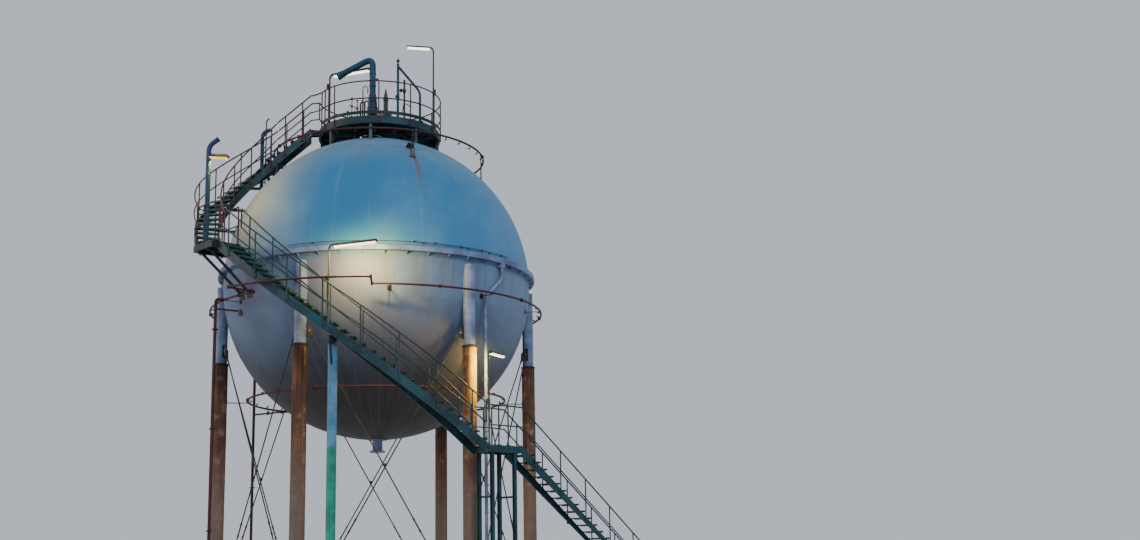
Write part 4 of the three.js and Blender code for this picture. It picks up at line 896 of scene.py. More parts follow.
def middle_spray():
    """The ring below the gutter, which steps out and round the stair."""
    body = Body()
    radius, height = RING_MIDDLE
    near, far, detour = -34.7, 6.5, 1.27 * RADIUS
    body.tube([polar(radius, b, height) for b in spread(far, near + 360, 108)], SPRAY_PIPE, 12)
    outer = [polar(detour, b, height) for b in spread(near, far, 16)]
    body.tube([polar(radius - 0.02, near, height), outer[0], *outer, polar(radius - 0.02, far, height)],
              SPRAY_PIPE, 12)
    for bearing in (near, far):
        for r in (radius, detour):
            body.band(polar(r, bearing, height), 0.038, 0.006, 0.05, 12)
    nozzles(body, radius, height, 11, 7.9, 40, 0.9)
    low = shell_radius(height)
    for bearing in (12.2, 48, 84, 120, 156, 192, 228, 264, 309.7):
        body.bar((low + radius) / 2 - 0.01, bearing, height - 0.042, (radius - low + 0.04, 0.05, 0.016), 1)
        shell_pad(body, bearing, height - 0.03, (0.02, 0.13, 0.15), 1)
        saddle(body, radius, bearing, height)
    ring_unions(body, radius, height, (28, 64, 100, 136, 172, 208, 244, 280, 318))
    feed = ((radius, height), (RISER_RADIUS, height), (RISER_RADIUS, 0))
    body.tube(rounded([polar(r, FEED_BEARING, z) for r, z in feed], 0.12, 8), RISER_PIPE, 16)
    for z in (8.6, 5.6, 2.6, 0.5):
        union(body, polar(RISER_RADIUS, FEED_BEARING, z), UP, RISER_PIPE)
    stay = height - 0.3
    body.tube([polar(r, FEED_BEARING, stay) for r in (RADIUS * 0.985, RISER_RADIUS)], 0.026, 8)
    body.bar(shell_radius(stay) + 0.005, FEED_BEARING, stay + 0.02, (0.02, 0.22, 0.3))
    body.bar((STAIR_OUTER + detour) / 2, -26, height, (detour - STAIR_OUTER + 0.02, 0.06, 0.022))
    piece("middle_spray_pipe", body, [SPRAY_RED, STAY], ["middle_spray_ring"])


def lower_spray():
    body = Body()
    radius, height = RING_LOWER
    body.tube([polar(radius, 3 * k, height) for k in range(120)], SPRAY_PIPE, 12, joined=True)
    nozzles(body, radius, height, 5, 11.25, 32)
    casing = RADIUS - 0.215
    for bearing in LEG_BEARINGS:
        body.bar((radius + casing) / 2, bearing, height - 0.045, (casing - radius + 0.06, 0.05, 0.024), 1)
        body.bar(casing + 0.003, bearing, height - 0.03, (0.016, 0.1, 0.15), 1)
        saddle(body, radius, bearing, height)
    ring_unions(body, radius, height, [b + 7 for b in LEG_BEARINGS])
    radial(body, radius, radius + TEE, height, 0.044, 16)
    piece("lower_spray_pipe", body, [SPRAY_RED, STAY], ["lower_spray_ring"])


def riser():
    """The pipe that feeds the rings at the back, and its branches with hand valves."""
    body = Body()
    radius, height = RING_TOP
    bends = [(RISER_RADIUS * math.cos(a), CENTRE + RISER_RADIUS * math.sin(a))
             for a in (math.radians(turn) for turn in spread(0, 48, 20))]
    route = [(RISER_RADIUS, 0), *bends, (radius + 0.29, height), (radius + TEE, height)]
    body.tube([polar(r, RISER_BEARING, z) for r, z in route], RISER_PIPE, 16)
    for ring_radius, z in (RING_MIDDLE, RING_LOWER):
        end = ring_radius + TEE
        radial(body, RISER_RADIUS, end, z, SPRAY_PIPE, 12)
        union(body, polar(end + 0.03, RISER_BEARING, z), outward(RISER_BEARING), SPRAY_PIPE)
        at = polar((RISER_RADIUS + end) / 2, RISER_BEARING, z)
        body.band(at, 0.03, 0.025, 0.07, 14, 0.04, direction=outward(RISER_BEARING))
        body.turned([(0.02, 0), (0.02, 0.13), (0.07, 0.132), (0.07, 0.15), (0.015, 0.152)], at, 14)
    for z in (1.2, 4.2, 8.2):
        union(body, polar(RISER_RADIUS, RISER_BEARING, z), UP, RISER_PIPE)
    stay = CENTRE - 0.06
    body.bar((RADIUS + RISER_RADIUS) / 2, RISER_BEARING, stay, (RISER_RADIUS - RADIUS, 0.06, 0.024))
    shell_pad(body, RISER_BEARING, stay, (0.02, 0.2, 0.24))
    piece("riser_line", body, [SPRAY_RED], ["spray_riser"])


def spray_rings():
    crown_spray()
    middle_spray()
    lower_spray()
    riser()


# Stair


class Flight:
    """A run of stair, straight or about a point: its ends, its rise and its two sides."""

    def __init__(self, first, last, high, low, risers, start, middle=0.0, heading=None):
        self.first, self.last = first, last
        self.high, self.low = high, low
        self.risers = risers
        self.start, self.heading = start, heading
        self.inner, self.outer = middle - HALF_WIDTH, middle + HALF_WIDTH
        self.steps = 1 if heading is not None else max(int(abs(last - first) / FACET), 8)

    def facing(self, along):
        """The bearing of the flight's outer side. It changes along a curved flight."""
        return along if self.heading is None else self.heading

    def at(self, across, along, height=0.0):
        place = self.start + outward(self.facing(along)) * across + UP * height
        return place if self.heading is None else place + sideways(self.heading) * along

    def beside(self, inner, reach):
        """How far across a line lies that stands out from one of the two sides."""
        return self.inner - reach if inner else self.outer + reach

    def nose(self, along):
        return self.high + (self.low - self.high) * (along - self.first) / (self.last - self.first)

    def units(self, metres):
        """A distance along the middle of the flight: degrees on a curved one, metres on a straight one."""
        return metres if self.heading is not None else math.degrees(metres * 2 / (self.inner + self.outer))

    def line(self, across, height, inset):
        """Points that rise with the noses, from near one end to near the other."""
        inset = self.units(inset)
        places = spread(self.first + inset, self.last - inset, self.steps)
        return [self.at(across, a, self.nose(a) + height) for a in places]


UPPER_MIDDLE = 0.391 * RADIUS
UPPER_TURN = polar(STAIR_MIDDLE - UPPER_MIDDLE, -51)
TOP_HEADING, TOP_RUN = -171.1, 0.221 * RADIUS
TOP_START = UPPER_TURN + outward(TOP_HEADING) * UPPER_MIDDLE - sideways(TOP_HEADING) * TOP_RUN
FLIGHTS = {
    "lower": Flight(-41, 39, MIDDLE_LANDING, LOW_LANDING, 31, polar(0, 0), STAIR_MIDDLE),
    "upper": Flight(TOP_HEADING, -51, UPPER_HEAD, MIDDLE_LANDING, 18, UPPER_TURN, UPPER_MIDDLE),
    "top": Flight(0, TOP_RUN, DECK, UPPER_HEAD, 5, TOP_START, 0, TOP_HEADING),
    "ground": Flight(0.12, 6.48, LOW_LANDING, 0, 24, polar(STAIR_MIDDLE, 50), 0, 46),
}


def arm(body, bearing, end, top, depth, width):
    """An I-shaped arm that stands out from the shell, on its pad."""
    height = top - depth / 2
    begin = shell_radius(height) - 0.01
    for way in (-1, 1):
        body.bar((begin + end) / 2, bearing, height + way * (depth / 2 - 0.006), (end - begin, width, 0.011))
    body.bar((begin + end) / 2, bearing, height, (end - begin, 0.01, depth - 0.02))
    shell_pad(body, bearing, height, (0.02, 0.2, 0.24))


def i_post(body, place, bearing, low, high, width, half, plate, finish=0):
    """An upright I: its two flanges and the web between them."""
    length, middle = high - low, place + UP * (low + high) / 2
    for way in (-half, half):
        body.block(middle + outward(bearing) * way, (length, width, plate), UP, outward(bearing), finish)
    body.block(middle, (length, half * 2, plate), UP, sideways(bearing), finish)


def stringer(edge, inward):
    """The section of a channel that opens inwards, as distances across and up from the noses."""
    web, flange, drop, rise = 0.012 * inward, 0.06 * inward, -0.26, 0.04
    thick = abs(web)
    return [(edge, drop), (edge + flange, drop), (edge + flange, drop + thick), (edge + web, drop + thick),
            (edge + web, rise - thick), (edge + flange, rise - thick), (edge + flange, rise), (edge, rise)]


def stair(name, node):
    flight = FLIGHTS[name]
    body = Body()
    floor, web = 0.001, 0.012
    for edge, inward in ((flight.inner, 1), (flight.outer, -1)):
        section = stringer(edge, inward)
        body.loft([[flight.at(across, along, max(flight.nose(along) + z, floor)) for across, z in section]
                   for along in spread(flight.first, flight.last, flight.steps)])
    low, high = min(flight.high, flight.low), max(flight.high, flight.low)
    going = (flight.last - flight.first) / flight.risers
    ends = (flight.inner + web, flight.outer - web)
    for i in range(1, flight.risers):
        top = low + (high - low) * i / flight.risers
        back = flight.last - going * (i + 0.06)
        front = flight.last - going * (i - 1 + 0.02)
        gauge = flight.units(0.006) * (1 if front > back else -1)
        section = [(front, -0.05), (front, 0), (back, 0), (back, -0.04), (back + gauge, -0.04),
                   (back + gauge, -0.006), (front - gauge, -0.006), (front - gauge, -0.05)]
        body.loft([[flight.at(across, along, max(top + z, floor)) for along, z in section] for across in ends], 1)
        # A raised bar along the nose, and the bolts of each end
        body.tube([flight.at(across, front - gauge * 2, top + 0.002) for across in ends], 0.007, 6, 1)
        for across, way in ((flight.inner, -1), (flight.outer, 1)):
            for share in (0.3, 0.7):
                along = front + (back - front) * share
                body.bolt(flight.at(across, along, top - 0.03), outward(flight.facing(along)) * way, 0.011, 2)
    if name == "upper":
        for along in (-88, -118, -148):
            tip = flight.at(flight.outer - 0.05, along) - polar(0, 0)
            arm(body, math.degrees(math.atan2(tip.x, -tip.y)), tip.length, flight.nose(along) - 0.18, 0.08, 0.07)
    piece(f"{name}_stair", body, [TEAL, CHEQUERED, STEEL], [node])


# Rails


def turn_back(top, mid, reach):
    """The rounded end that joins a top rail to its mid rail, beyond their last points."""
    ahead = (top[-1] - top[-2]).normalized() * reach
    return rounded([top[-1], top[-1] + ahead, mid[-1] + ahead, mid[-1]], 0.12, 5)[1:-1]


def closed_rail(body, top, mid, reach=0.1):
    loop = top + turn_back(top, mid, reach) + mid[::-1] + turn_back(top[::-1], mid[::-1], reach)[::-1]
    body.tube(loop, 0.022, 10, joined=True)


def rail_set(body, flight, inner, bays, count, closed=False):
    """Top rail, mid rail and bolted posts beside a flight."""
    way = -1 if inner else 1
    across = flight.beside(inner, RAIL_LEDGE)
    if closed:
        closed_rail(body, *(flight.line(across, height, 0.15) for height, _ in RAIL_LINES))
    else:
        for height, radius in RAIL_LINES:
            body.tube(flight.line(across, height, 0.012), radius, 10)
    for bay in bays:
        along = flight.first + (flight.last - flight.first) * (bay - 0.5) / count
        nose, side = flight.nose(along), outward(flight.facing(along))
        body.tube([flight.at(across, along, nose + z) for z in (-0.17, RAIL_HEIGHT)], 0.021, 10)
        plate = flight.at(flight.beside(inner, 0.006), along, nose - 0.11)
        body.block(plate, (0.012, 0.11, 0.14), side)
        for shift in (-0.04, 0.04):
            body.bolt(plate + sideways(flight.facing(along)) * shift + side * way * 0.006, side * way, 0.011, 1)


def landing_rail(body, corners, posts, height, lead=()):
    """Rails on a landing. The lead points join them to a flight's rails."""
    for rail, radius in RAIL_LINES:
        line = [Vector((p.x, p.y, height + rail)) for p in corners] + [p + UP * rail for p in lead]
        body.tube(rounded(line, 0.12, 4), radius, 10)
    for place in posts:
        foot = Vector((place.x, place.y, height))
        body.tube([foot, foot + UP * RAIL_HEIGHT], 0.022, 10)
        body.block(foot + UP * 0.007, (0.13, 0.13, 0.012))
        body.bolts(foot + UP * 0.013, 4, 0.045 * math.sqrt(2), 0.009, 45)


def platform_rail():
    """The rails, toe board and posts round the platform, open where the stair comes in."""
    body = Body()
    seat = DECK_RADIUS + 0.016
    places = spread(-58.5, 269.5, 109)
    closed_rail(body, *([polar(seat, b, DECK + height) for b in places] for height, _ in RAIL_LINES), 0.05)
    toe = [(seat - 0.006, 0.055), (seat + 0.002, 0.055), (seat + 0.002, 0.165), (seat - 0.006, 0.165)]
    body.loft([[polar(r, b, DECK + z) for r, z in toe] for b in places], 2)
    for bearing in (-52.5, -37.5, 7.5, 37.5, 67.5, 97.5, 127.5, 157.5, 187.5, 217.5, 247.5, 262.5):
        body.tube([polar(seat, bearing, DECK + z) for z in (-0.2, RAIL_HEIGHT)], 0.021, 10)
        body.bar(DECK_RADIUS + 0.004, bearing, DECK - 0.13, (0.012, 0.12, 0.13))
        for shift in (-0.045, 0.045):
            place = polar(DECK_RADIUS + 0.01, bearing, DECK - 0.13) + sideways(bearing) * shift
            body.bolt(place, outward(bearing), 0.011, 1)
    piece("platform_rail", body, [MAROON_RAIL, STEEL, DARK_TEAL], ["platform_handrail"])


def rails():
    lower, upper, top, ground = (FLIGHTS[n] for n in ("lower", "upper", "top", "ground"))

    def finish(name, body, colour):
        paint = GREEN_RAIL if colour == "green" else MAROON_RAIL
        piece(f"{name}_rail", body, [paint, STEEL], [f"{name}_handrail"])

    for side in ("outer", "inner"):
        body = Body()
        rail_set(body, lower, side == "inner", range(1, 9), 8, closed=True)
        finish(f"lower_{side}", body, "green")

    inset = 0.045
    for side, radius in (("outer", LANDING_OUTER - inset), ("inner", LANDING_INNER + inset)):
        body = Body()
        rail_set(body, ground, side == "inner", range(1, 7), 6)
        corners = [polar(radius, b) for b in (39.3, 42.7, 46)]
        across = ground.beside(side == "inner", RAIL_LEDGE)
        landing_rail(body, corners, corners[1:], LOW_LANDING, [ground.at(across, 0.14, ground.nose(0.14))])
        finish(f"ground_{side}", body, "green")

    wide = MIDDLE_OUTER - inset
    plans = {
        "outer": [polar(STAIR_OUTER + 0.06, -41.5), polar(wide, -41.5), polar(wide, -46), polar(wide, -50.5),
                  upper.at(upper.beside(False, RAIL_LEDGE), -50.6)],
        "inner": [polar(LANDING_INNER + inset, b) for b in (-41.4, -45.7, -50)],
    }
    for side, corners in plans.items():
        body = Body()
        rail_set(body, upper, side == "inner", (1, 3, 5, 7, 10), 10)
        lead = upper.at(upper.beside(side == "inner", RAIL_LEDGE), -51.4, upper.nose(-51.4))
        landing_rail(body, corners, [corners[0], corners[2]], MIDDLE_LANDING, [lead])
        finish(f"upper_{side}", body, "maroon")

    for side, bearing in (("far", -89.2), ("near", -60.3)):
        body = Body()
        rail_set(body, top, side == "near", (1, 2), 2)
        across = top.beside(side == "near", RAIL_LEDGE)
        corners = [top.at(across, 0.02), top.at(across, -0.06), polar(DECK_RADIUS + RAIL_LEDGE, bearing)]
        landing_rail(body, corners, [], DECK)
        finish(f"top_{side}", body, "maroon")
    platform_rail()


# Landings and the top platform


def edge_frame(body, outline, top):
    """A deck plate in a frame of channels that open inwards."""
    depth, plate, web, flange = 0.2, 0.008, 0.01, 0.07
    body.prism(outline, top - plate, top, 1)
    count = len(outline)

    def moved(distance):
        result = []
        for i in range(count):
            before, here, after = (Vector(outline[(i + k) % count][:2]) for k in (-1, 0, 1))
            arriving, leaving = (here - before).normalized(), (after - here).normalized()
            normal = Vector((-arriving.y - leaving.y, arriving.x + leaving.x)).normalized()
            square = Vector((-arriving.y, arriving.x))
            result.append(here + normal * distance / max(normal.dot(square), 0.3))
        return result

    levels = {distance: moved(distance) for distance in (0, web, flange)}
    section = [(0, -depth), (flange, -depth), (flange, -depth + web), (web, -depth + web), (web, -plate - web),
               (flange, -plate - web), (flange, -plate - 0.001), (0, -plate - 0.001)]
    body.loft([[Vector((*levels[d][i], top + z)) for d, z in section] for i in range(count)], joined=True)


def landings():
    ground = FLIGHTS["ground"]
    body = Body()
    outline = [polar(LANDING_OUTER, b) for b in spread(39, 49, 6)]
    outline += [ground.at(way * (HALF_WIDTH + 0.006), 0.12) for way in (1, -1)]
    outline += [polar(LANDING_INNER, b) for b in spread(49.5, 39, 6)]
    edge_frame(body, outline, LOW_LANDING)
    for bearing in (40.6, 48.6):
        for radius in (LANDING_INNER + 0.085, LANDING_OUTER - 0.085):
            place = polar(radius, bearing)
            i_post(body, place, bearing, 0.02, 4.66, 0.1, 0.045, 0.01)
            body.bar(radius, bearing, 0.01, (0.22, 0.22, 0.02))
            body.bolts(place + UP * 0.02, 4, 0.08 * math.sqrt(2), 0.014, bearing + 45, 2)
        body.bar(STAIR_MIDDLE, bearing, LOW_LANDING - 0.16, (0.7, 0.05, 0.07))
        for height in (1.6, 3.4):
            body.bar(STAIR_MIDDLE, bearing, height, (0.62, 0.01, 0.06))
    piece("low_platform", body, [TEAL, CHEQUERED, STEEL], ["low_landing"])

    body = Body()
    outline = [polar(MIDDLE_OUTER, b) for b in spread(-51, -41, 8)]
    outline += [polar(LANDING_INNER, b) for b in spread(-41, -51, 8)]
    edge_frame(body, outline, MIDDLE_LANDING)
    for radius in spread(LANDING_INNER + 0.25, MIDDLE_OUTER - 0.25, 2):
        body.tube([polar(radius, b, MIDDLE_LANDING - 0.05) for b in spread(-50.8, -41.2, 6)], 0.03, 6)
    high, foot_height = MIDDLE_LANDING - 0.19, CENTRE - 0.16 * RADIUS
    for bearing in (-43.5, -48.5):
        arm(body, bearing, MIDDLE_OUTER - 0.03, high, 0.085, 0.08)
        foot = polar(shell_radius(foot_height) - 0.01, bearing, foot_height)
        body.tube([foot, polar(MIDDLE_OUTER - 0.16, bearing, high - 0.065)], 0.045, 16)
        shell_pad(body, bearing, foot_height, (0.02, 0.26, 0.26))
    piece("middle_platform", body, [DARK_TEAL, CHEQUERED], ["middle_landing"])


def prop_tube():
    """The tube under the long flight, with its ribbed foot, its cross beam and two knees."""
    body = Body()
    bearing, place, tube, beam = -4, 1.175 * RADIUS, 0.136, 0.168 * RADIUS
    beam_top = FLIGHTS["lower"].nose(bearing + 0.6) - 0.26
    foot = polar(place, bearing)
    body.turned([(tube, 0.02), (tube, beam_top - 0.18)], foot, 40)
    for height in (3.1, 6.2):
        body.turned([(tube, height - 0.01), (tube + 0.005, height), (tube, height + 0.01)], foot, 40)
    body.bar(place, bearing, 0.0125, (0.48, 0.48, 0.025))
    for turn in range(0, 360, 90):
        aim, side = outward(bearing + turn), sideways(bearing + turn) * 0.006
        outline = [foot + aim * a + side * s for a, s in ((0.13, -1), (0.13, 1), (0.22, 1), (0.22, -1))]
        body.prism(outline, 0.025, 0.2)
    body.bolts(foot + UP * 0.025, 4, 0.27, 0.022, bearing + 45)
    for z in (-0.094, 0.094):
        body.bar(place, bearing, beam_top - 0.1 + z, (beam, 0.12, 0.012), 2)
    body.bar(place, bearing, beam_top - 0.1, (beam, 0.012, 0.18), 2)
    for side in (-1, 1):
        body.tube([polar(place + side * 0.1, bearing, beam_top - 0.8),
                   polar(place + side * 0.33, bearing, beam_top - 0.18)], 0.035, 12, 2)
    piece("prop_tube", body, [PROP, STEEL, DARK_TEAL], ["stair_post"])


def holed_plate(body, outline, holes, low, high, finish):
    """A level plate with holes through it."""
    loops = [[Vector((p.x, p.y, 0)) for p in loop] for loop in (outline, *holes)]
    flat = [p for loop in loops for p in loop]
    count = len(flat)
    corners = tessellate_polygon(loops)
    faces = [tuple(three) for three in corners]
    faces += [tuple(i + count for i in reversed(three)) for three in corners]
    start = 0
    for loop in loops:
        for i in range(len(loop)):
            here, there = start + i, start + (i + 1) % len(loop)
            faces.append((here, there, there + count, here + count))
        start += len(loop)
    body.add([p + UP * z for z in (low, high) for p in flat], faces, finish)


def crown_frame():
    """Ring beam, inner ring, joists, and eight struts on the shell with their knees."""
    body = Body()
    top, outer, width, depth, plate = DECK - 0.0405, DECK_RADIUS, 0.075, 0.2, 0.01
    lip, back = outer - width, outer - plate
    body.hoop([(lip, -depth), (outer, -depth), (outer, 0), (lip, 0), (lip, -plate), (back, -plate),
               (back, -depth + plate), (lip, -depth + plate)], top)
    inner = INNER_BEAM + 0.06
    body.hoop([(INNER_BEAM, -0.1), (inner, -0.1), (inner, 0), (INNER_BEAM, 0)], top, 60)
    radius = outer - 0.08
    foot = shell_height(radius) - 0.02
    for bearing in range(0, 360, 45):
        i_post(body, polar(radius, bearing), bearing, foot, top, 0.09, 0.04, 0.009, 1)
        shell_pad(body, bearing, shell_height(radius), (0.02, 0.24, 0.24), 1)
        body.tube([polar(radius, bearing, foot + 0.12), polar(radius - 0.5, bearing, top - 0.06)], 0.026, 8)
    for bearing in range(0, 360, 30):
        depth = 0.1 if bearing % 90 == 0 else 0.07
        body.bar((inner + lip) / 2, bearing, top - depth / 2, (lip - inner + 0.02, 0.012, depth))
        body.bar((inner + lip) / 2, bearing, top - depth, (lip - inner, 0.06, 0.01))
    piece("crown_frame", body, [TEAL, PALE_BLUE], ["platform_frame"])


def crown_platform():
    crown_frame()
    body = Body()
    outer, lip = DECK_RADIUS, DECK_RADIUS - 0.06
    body.hoop([(lip, -0.04), (outer, -0.04), (outer, 0), (outer - 0.008, 0), (outer - 0.012, -0.03), (lip, -0.03)],
              DECK)
    holes = []
    for place, radius in ((MANWAY_PLACE, 0.42), (RELIEF_PLACE, 0.14)):
        holes.append([place + outward(10 * k) * radius for k in range(36)])
        rim = radius + 0.008
        body.turned([(radius, -0.04), (rim, -0.04), (rim, 0.03), (radius, 0.03)], place + UP * DECK, 36,
                    joined=True)
    holed_plate(body, [polar(outer - 0.011, 3 * k) for k in range(120)], holes, DECK - 0.012, DECK - 0.004, 1)
    # The plate that reaches in from the stair, and its stiffeners
    flight = FLIGHTS["top"]
    entry = [flight.at(flight.outer - 0.004, 0), flight.at(flight.inner + 0.004, 0),
             polar(lip, -72), polar(lip, -90)]
    body.prism(entry, DECK - 0.014, DECK - 0.002, 1)
    for start, end in ((entry[0], entry[3]), (entry[1], entry[2]), (entry[0], entry[1])):
        body.block((start + end) / 2 + UP * (DECK - 0.022), ((end - start).length, 0.01, 0.036), end - start)
    piece("crown_deck", body, [TEAL, CHEQUERED], ["platform_deck"])


# Fittings


def crook(foot, reach, high, drop):
    """The line of an upright pipe that turns over towards the right, and back down."""
    turns = spread(math.pi, 0, 10)
    arc = [foot + Vector((reach + reach * math.cos(a), 0, high + reach * math.sin(a))) for a in turns]
    return [foot, *arc, foot + Vector((2 * reach, 0, high - drop))]


def vent_stack():
    """The stack stands on the deck, tapers up from its foot and turns over."""
    body = Body()
    place = near_axis(0.0055, -0.36, 0)
    shoulder = CENTRE + 1.217 * RADIUS - DECK
    foot = place + UP * (DECK + 0.001)
    body.turned([(0.2, 0), (0.2, 0.022), (0.196, 0.025), (0.176, 0.026), (0.17, 0.05), (0.165, 0.2),
                 (0.131, shoulder - 0.04), (0.126, shoulder), (0.11, shoulder + 0.06), (0.105, shoulder + 0.08)],
                foot, 36)
    body.bolts(foot + UP * 0.025, 8, 0.186, 0.012, 22.5)
    body.flange(foot + UP * (shoulder * 0.42), 0.152, 0.176, 0.016, 10, 0.009)
    turn = place + UP * (CENTRE + 1.48 * RADIUS)
    end = place + Vector((-0.233 * RADIUS, 0, CENTRE + 1.353 * RADIUS))
    aim = (end - turn).normalized()
    body.tube(rounded([foot + UP * (shoulder + 0.05), turn, end - aim * 0.24], 0.3, 12), 0.102, 28)
    mouth = [(0.102, 0), (0.108, 0.04), (0.13, 0.21), (0.134, 0.255), (0.122, 0.255), (0.096, 0.04), (0.09, 0)]
    body.turned(mouth, end - aim * 0.26, 28, 0, aim, joined=True)
    for height in (1.285, 1.37):
        body.band(place + UP * (CENTRE + height * RADIUS), 0.102, 0.01, 0.03, 28)
    knob = place + UP * (CENTRE + 1.33 * RADIUS)
    body.turned([(0.03, 0.09), (0.03, 0.14), (0.05, 0.142), (0.05, 0.18), (0.02, 0.19)], knob, 12, 0, (1, 0, 0))
    piece("vent_stack_pipe", body, [VENT_BLUE, STEEL], ["vent_stack"])


def relief_valve():
    """A flanged body with its bonnet, a pointed cap and a red lever on each side."""
    body = Body()
    at = RELIEF_PLACE
    face, bonnet, tip = DECK + 0.18, DECK + 0.7, CENTRE + 1.382 * RADIUS
    body.turned([(0.16, CENTRE + RADIUS - 0.03), (0.105, CENTRE + RADIUS + 0.03), (0.105, face - 0.04)], at, 28)
    body.flange(at + UP * face, 0.105, 0.178, 0.035, 12, 0.013)
    body.turned([(0.105, face + 0.05), (0.135, face + 0.09), (0.148, face + 0.2), (0.135, face + 0.33),
                 (0.12, face + 0.37), (0.148, face + 0.375), (0.148, face + 0.43), (0.12, face + 0.435),
                 (0.11, bonnet - 0.04), (0.085, bonnet), (0.075, bonnet + 0.03)], at, 28)
    body.bolts(at + UP * (face + 0.43), 8, 0.134, 0.011, 22)
    body.turned([(0.1, bonnet), (0.1, bonnet + 0.06), (0.078, bonnet + 0.08), (0.078, tip - 0.44),
                 (0.09, tip - 0.43), (0.09, tip - 0.38), (0.075, tip - 0.36), (0.075, tip - 0.32),
                 (0.05, tip - 0.2), (0.016, tip - 0.03), (0.012, tip)], at, 24, 3)
    body.turned([(0.06, 0.1), (0.06, 0.14), (0.085, 0.142), (0.085, 0.165), (0.05, 0.167)],
                at + UP * (face + 0.2), 20, 0, (-1, 0.3, 0))
    for way in (-1, 1):
        body.block(at + Vector((way * 0.12, 0, bonnet + 0.005)), (0.18, 0.05, 0.05), finish=2)
        body.block(at + Vector((way * 0.175, 0, bonnet - 0.05)), (0.05, 0.06, 0.13), finish=2)
        body.turned([(0.03, 0), (0.05, 0.02), (0.05, 0.18), (0.02, 0.24)],
                    at + Vector((way * 0.15, -0.05, face + 0.2)), 16, 3)
    pipe = ((-0.13, 0.25), (-0.17, 0.25), (-0.17, 0.6), (-0.07, 0.6))
    body.tube(rounded([at + Vector((0, y, face + z)) for y, z in pipe], 0.05), 0.01, 8)
    piece("relief_valve_set", body, [VENT_BLUE, STEEL, SPRAY_RED, DARK_TEAL], ["relief_valve"])


def manway():
    body = Body()
    at = MANWAY_PLACE
    crown = CENTRE + RADIUS
    face = crown + 0.33
    body.turned([(0.36, crown - 0.045), (0.36, crown - 0.01), (0.28, crown), (0.28, face - 0.1),
                 (0.35, face - 0.1), (0.35, face - 0.054), (0.34, face - 0.05), (0.34, face - 0.046),
                 (0.35, face - 0.042), (0.35, face - 0.004), (0.34, face)], at, 40)
    body.bolts(at + UP * face, 20, 0.318, 0.013, 9)
    for side in (-1, 1):
        handle = at + Vector((0.16 * side, 0, face))
        loop = [handle + Vector((0, y, z)) for y, z in ((-0.08, 0), (-0.08, 0.07), (0.08, 0.07), (0.08, 0))]
        body.tube(rounded(loop, 0.03), 0.009, 8)
    piece("crown_manway_set", body, [COLLAR, STEEL], ["crown_manway"])


def davit():
    body = Body()
    tall, short = near_axis(0.163, -0.3, 0), near_axis(0.303, -0.25, 0)
    peak, shoulder = CENTRE + 1.455 * RADIUS, CENTRE + 1.28 * RADIUS
    body.tube(rounded([short + UP * (DECK + 0.001), short + UP * shoulder, tall + UP * (peak - 0.06)], 0.16, 8),
              0.04, 20)
    body.tube([tall + UP * (DECK + 0.001), tall + UP * peak], 0.04, 20)
    for foot in (tall, short):
        body.turned([(0.11, 0.001), (0.11, 0.018), (0.045, 0.022), (0.045, 0.09), (0.042, 0.1)],
                    foot + UP * DECK, 24)
        body.bolts(foot + UP * (DECK + 0.018), 4, 0.085, 0.011, 45)
    body.turned([(r, peak + z) for r, z in (
        (0.043, -0.02), (0.043, 0.02), (0.022, 0.03), (0.022, 0.085), (0.055, 0.09), (0.055, 0.15), (0.022, 0.155),
        (0.022, 0.19), (0.018, 0.2))], tall, 16)
    # Winch on the tall post, with its crank
    drum = tall + UP * (DECK + 0.75)
    body.turned([(0.07, 0.05), (0.07, 0.06), (0.04, 0.062), (0.04, 0.15), (0.07, 0.152), (0.07, 0.162)],
                drum, 16, 0, (0, -1, 0))
    crank = ((0, -0.16, 0), (0, -0.19, 0), (0.1, -0.19, 0.06), (0.1, -0.25, 0.06))
    body.tube([drum + Vector(p) for p in crank], 0.01, 8)
    piece("davit_frame", body, [VENT_BLUE, STEEL], ["davit"])
    stand_pipe()


def stand_pipe():
    """The pipe between the davit's posts, with its pulley arm and a hose."""
    body = Body()
    foot = near_axis(0.203, -0.28, 0)
    top = CENTRE + 1.35 * RADIUS
    body.sole(foot + UP * DECK, 0.07, 0.016, 0.034, 0.05, 16)
    body.tube([foot + UP * DECK, foot + UP * top], 0.03, 16)
    body.turned([(0.03, top - 0.03), (0.046, top - 0.025), (0.046, top), (0.026, top + 0.005)], foot, 16)
    valve = foot + UP * (top - 0.36)
    wheel = valve + Vector((-0.11, 0, 0.02))
    body.band(valve, 0.032, 0.023, 0.08, 16, 0.03)
    body.tube([valve, wheel], 0.018, 10)
    body.band(wheel, 0.055, 0.005, 0.014, 16, 0.004, direction=(0, 1, 0))
    hose = ((-0.06, 0, 0.3), (-0.02, -0.03, 0.6), (0.2, -0.03, 0.52), (0.2, -0.03, 0.02))
    body.tube(rounded([foot + Vector((x, y, DECK + z)) for x, y, z in hose], 0.14, 8), 0.014, 8)
    piece("stand_pipe", body, [DARK_TEAL])


def hand_valve(body, at, size, wheel):
    """A small valve in an upright pipe, with its wheel on a stem."""
    body.band(at, size * 0.45, size * 0.55, size, 12, size * 0.5)
    body.turned([(size * 0.25, 0), (size * 0.25, size * 1.9), (size, size * 1.95), (size, size * 2.2),
                 (size * 0.2, size * 2.25)], at, 14, 0, wheel)


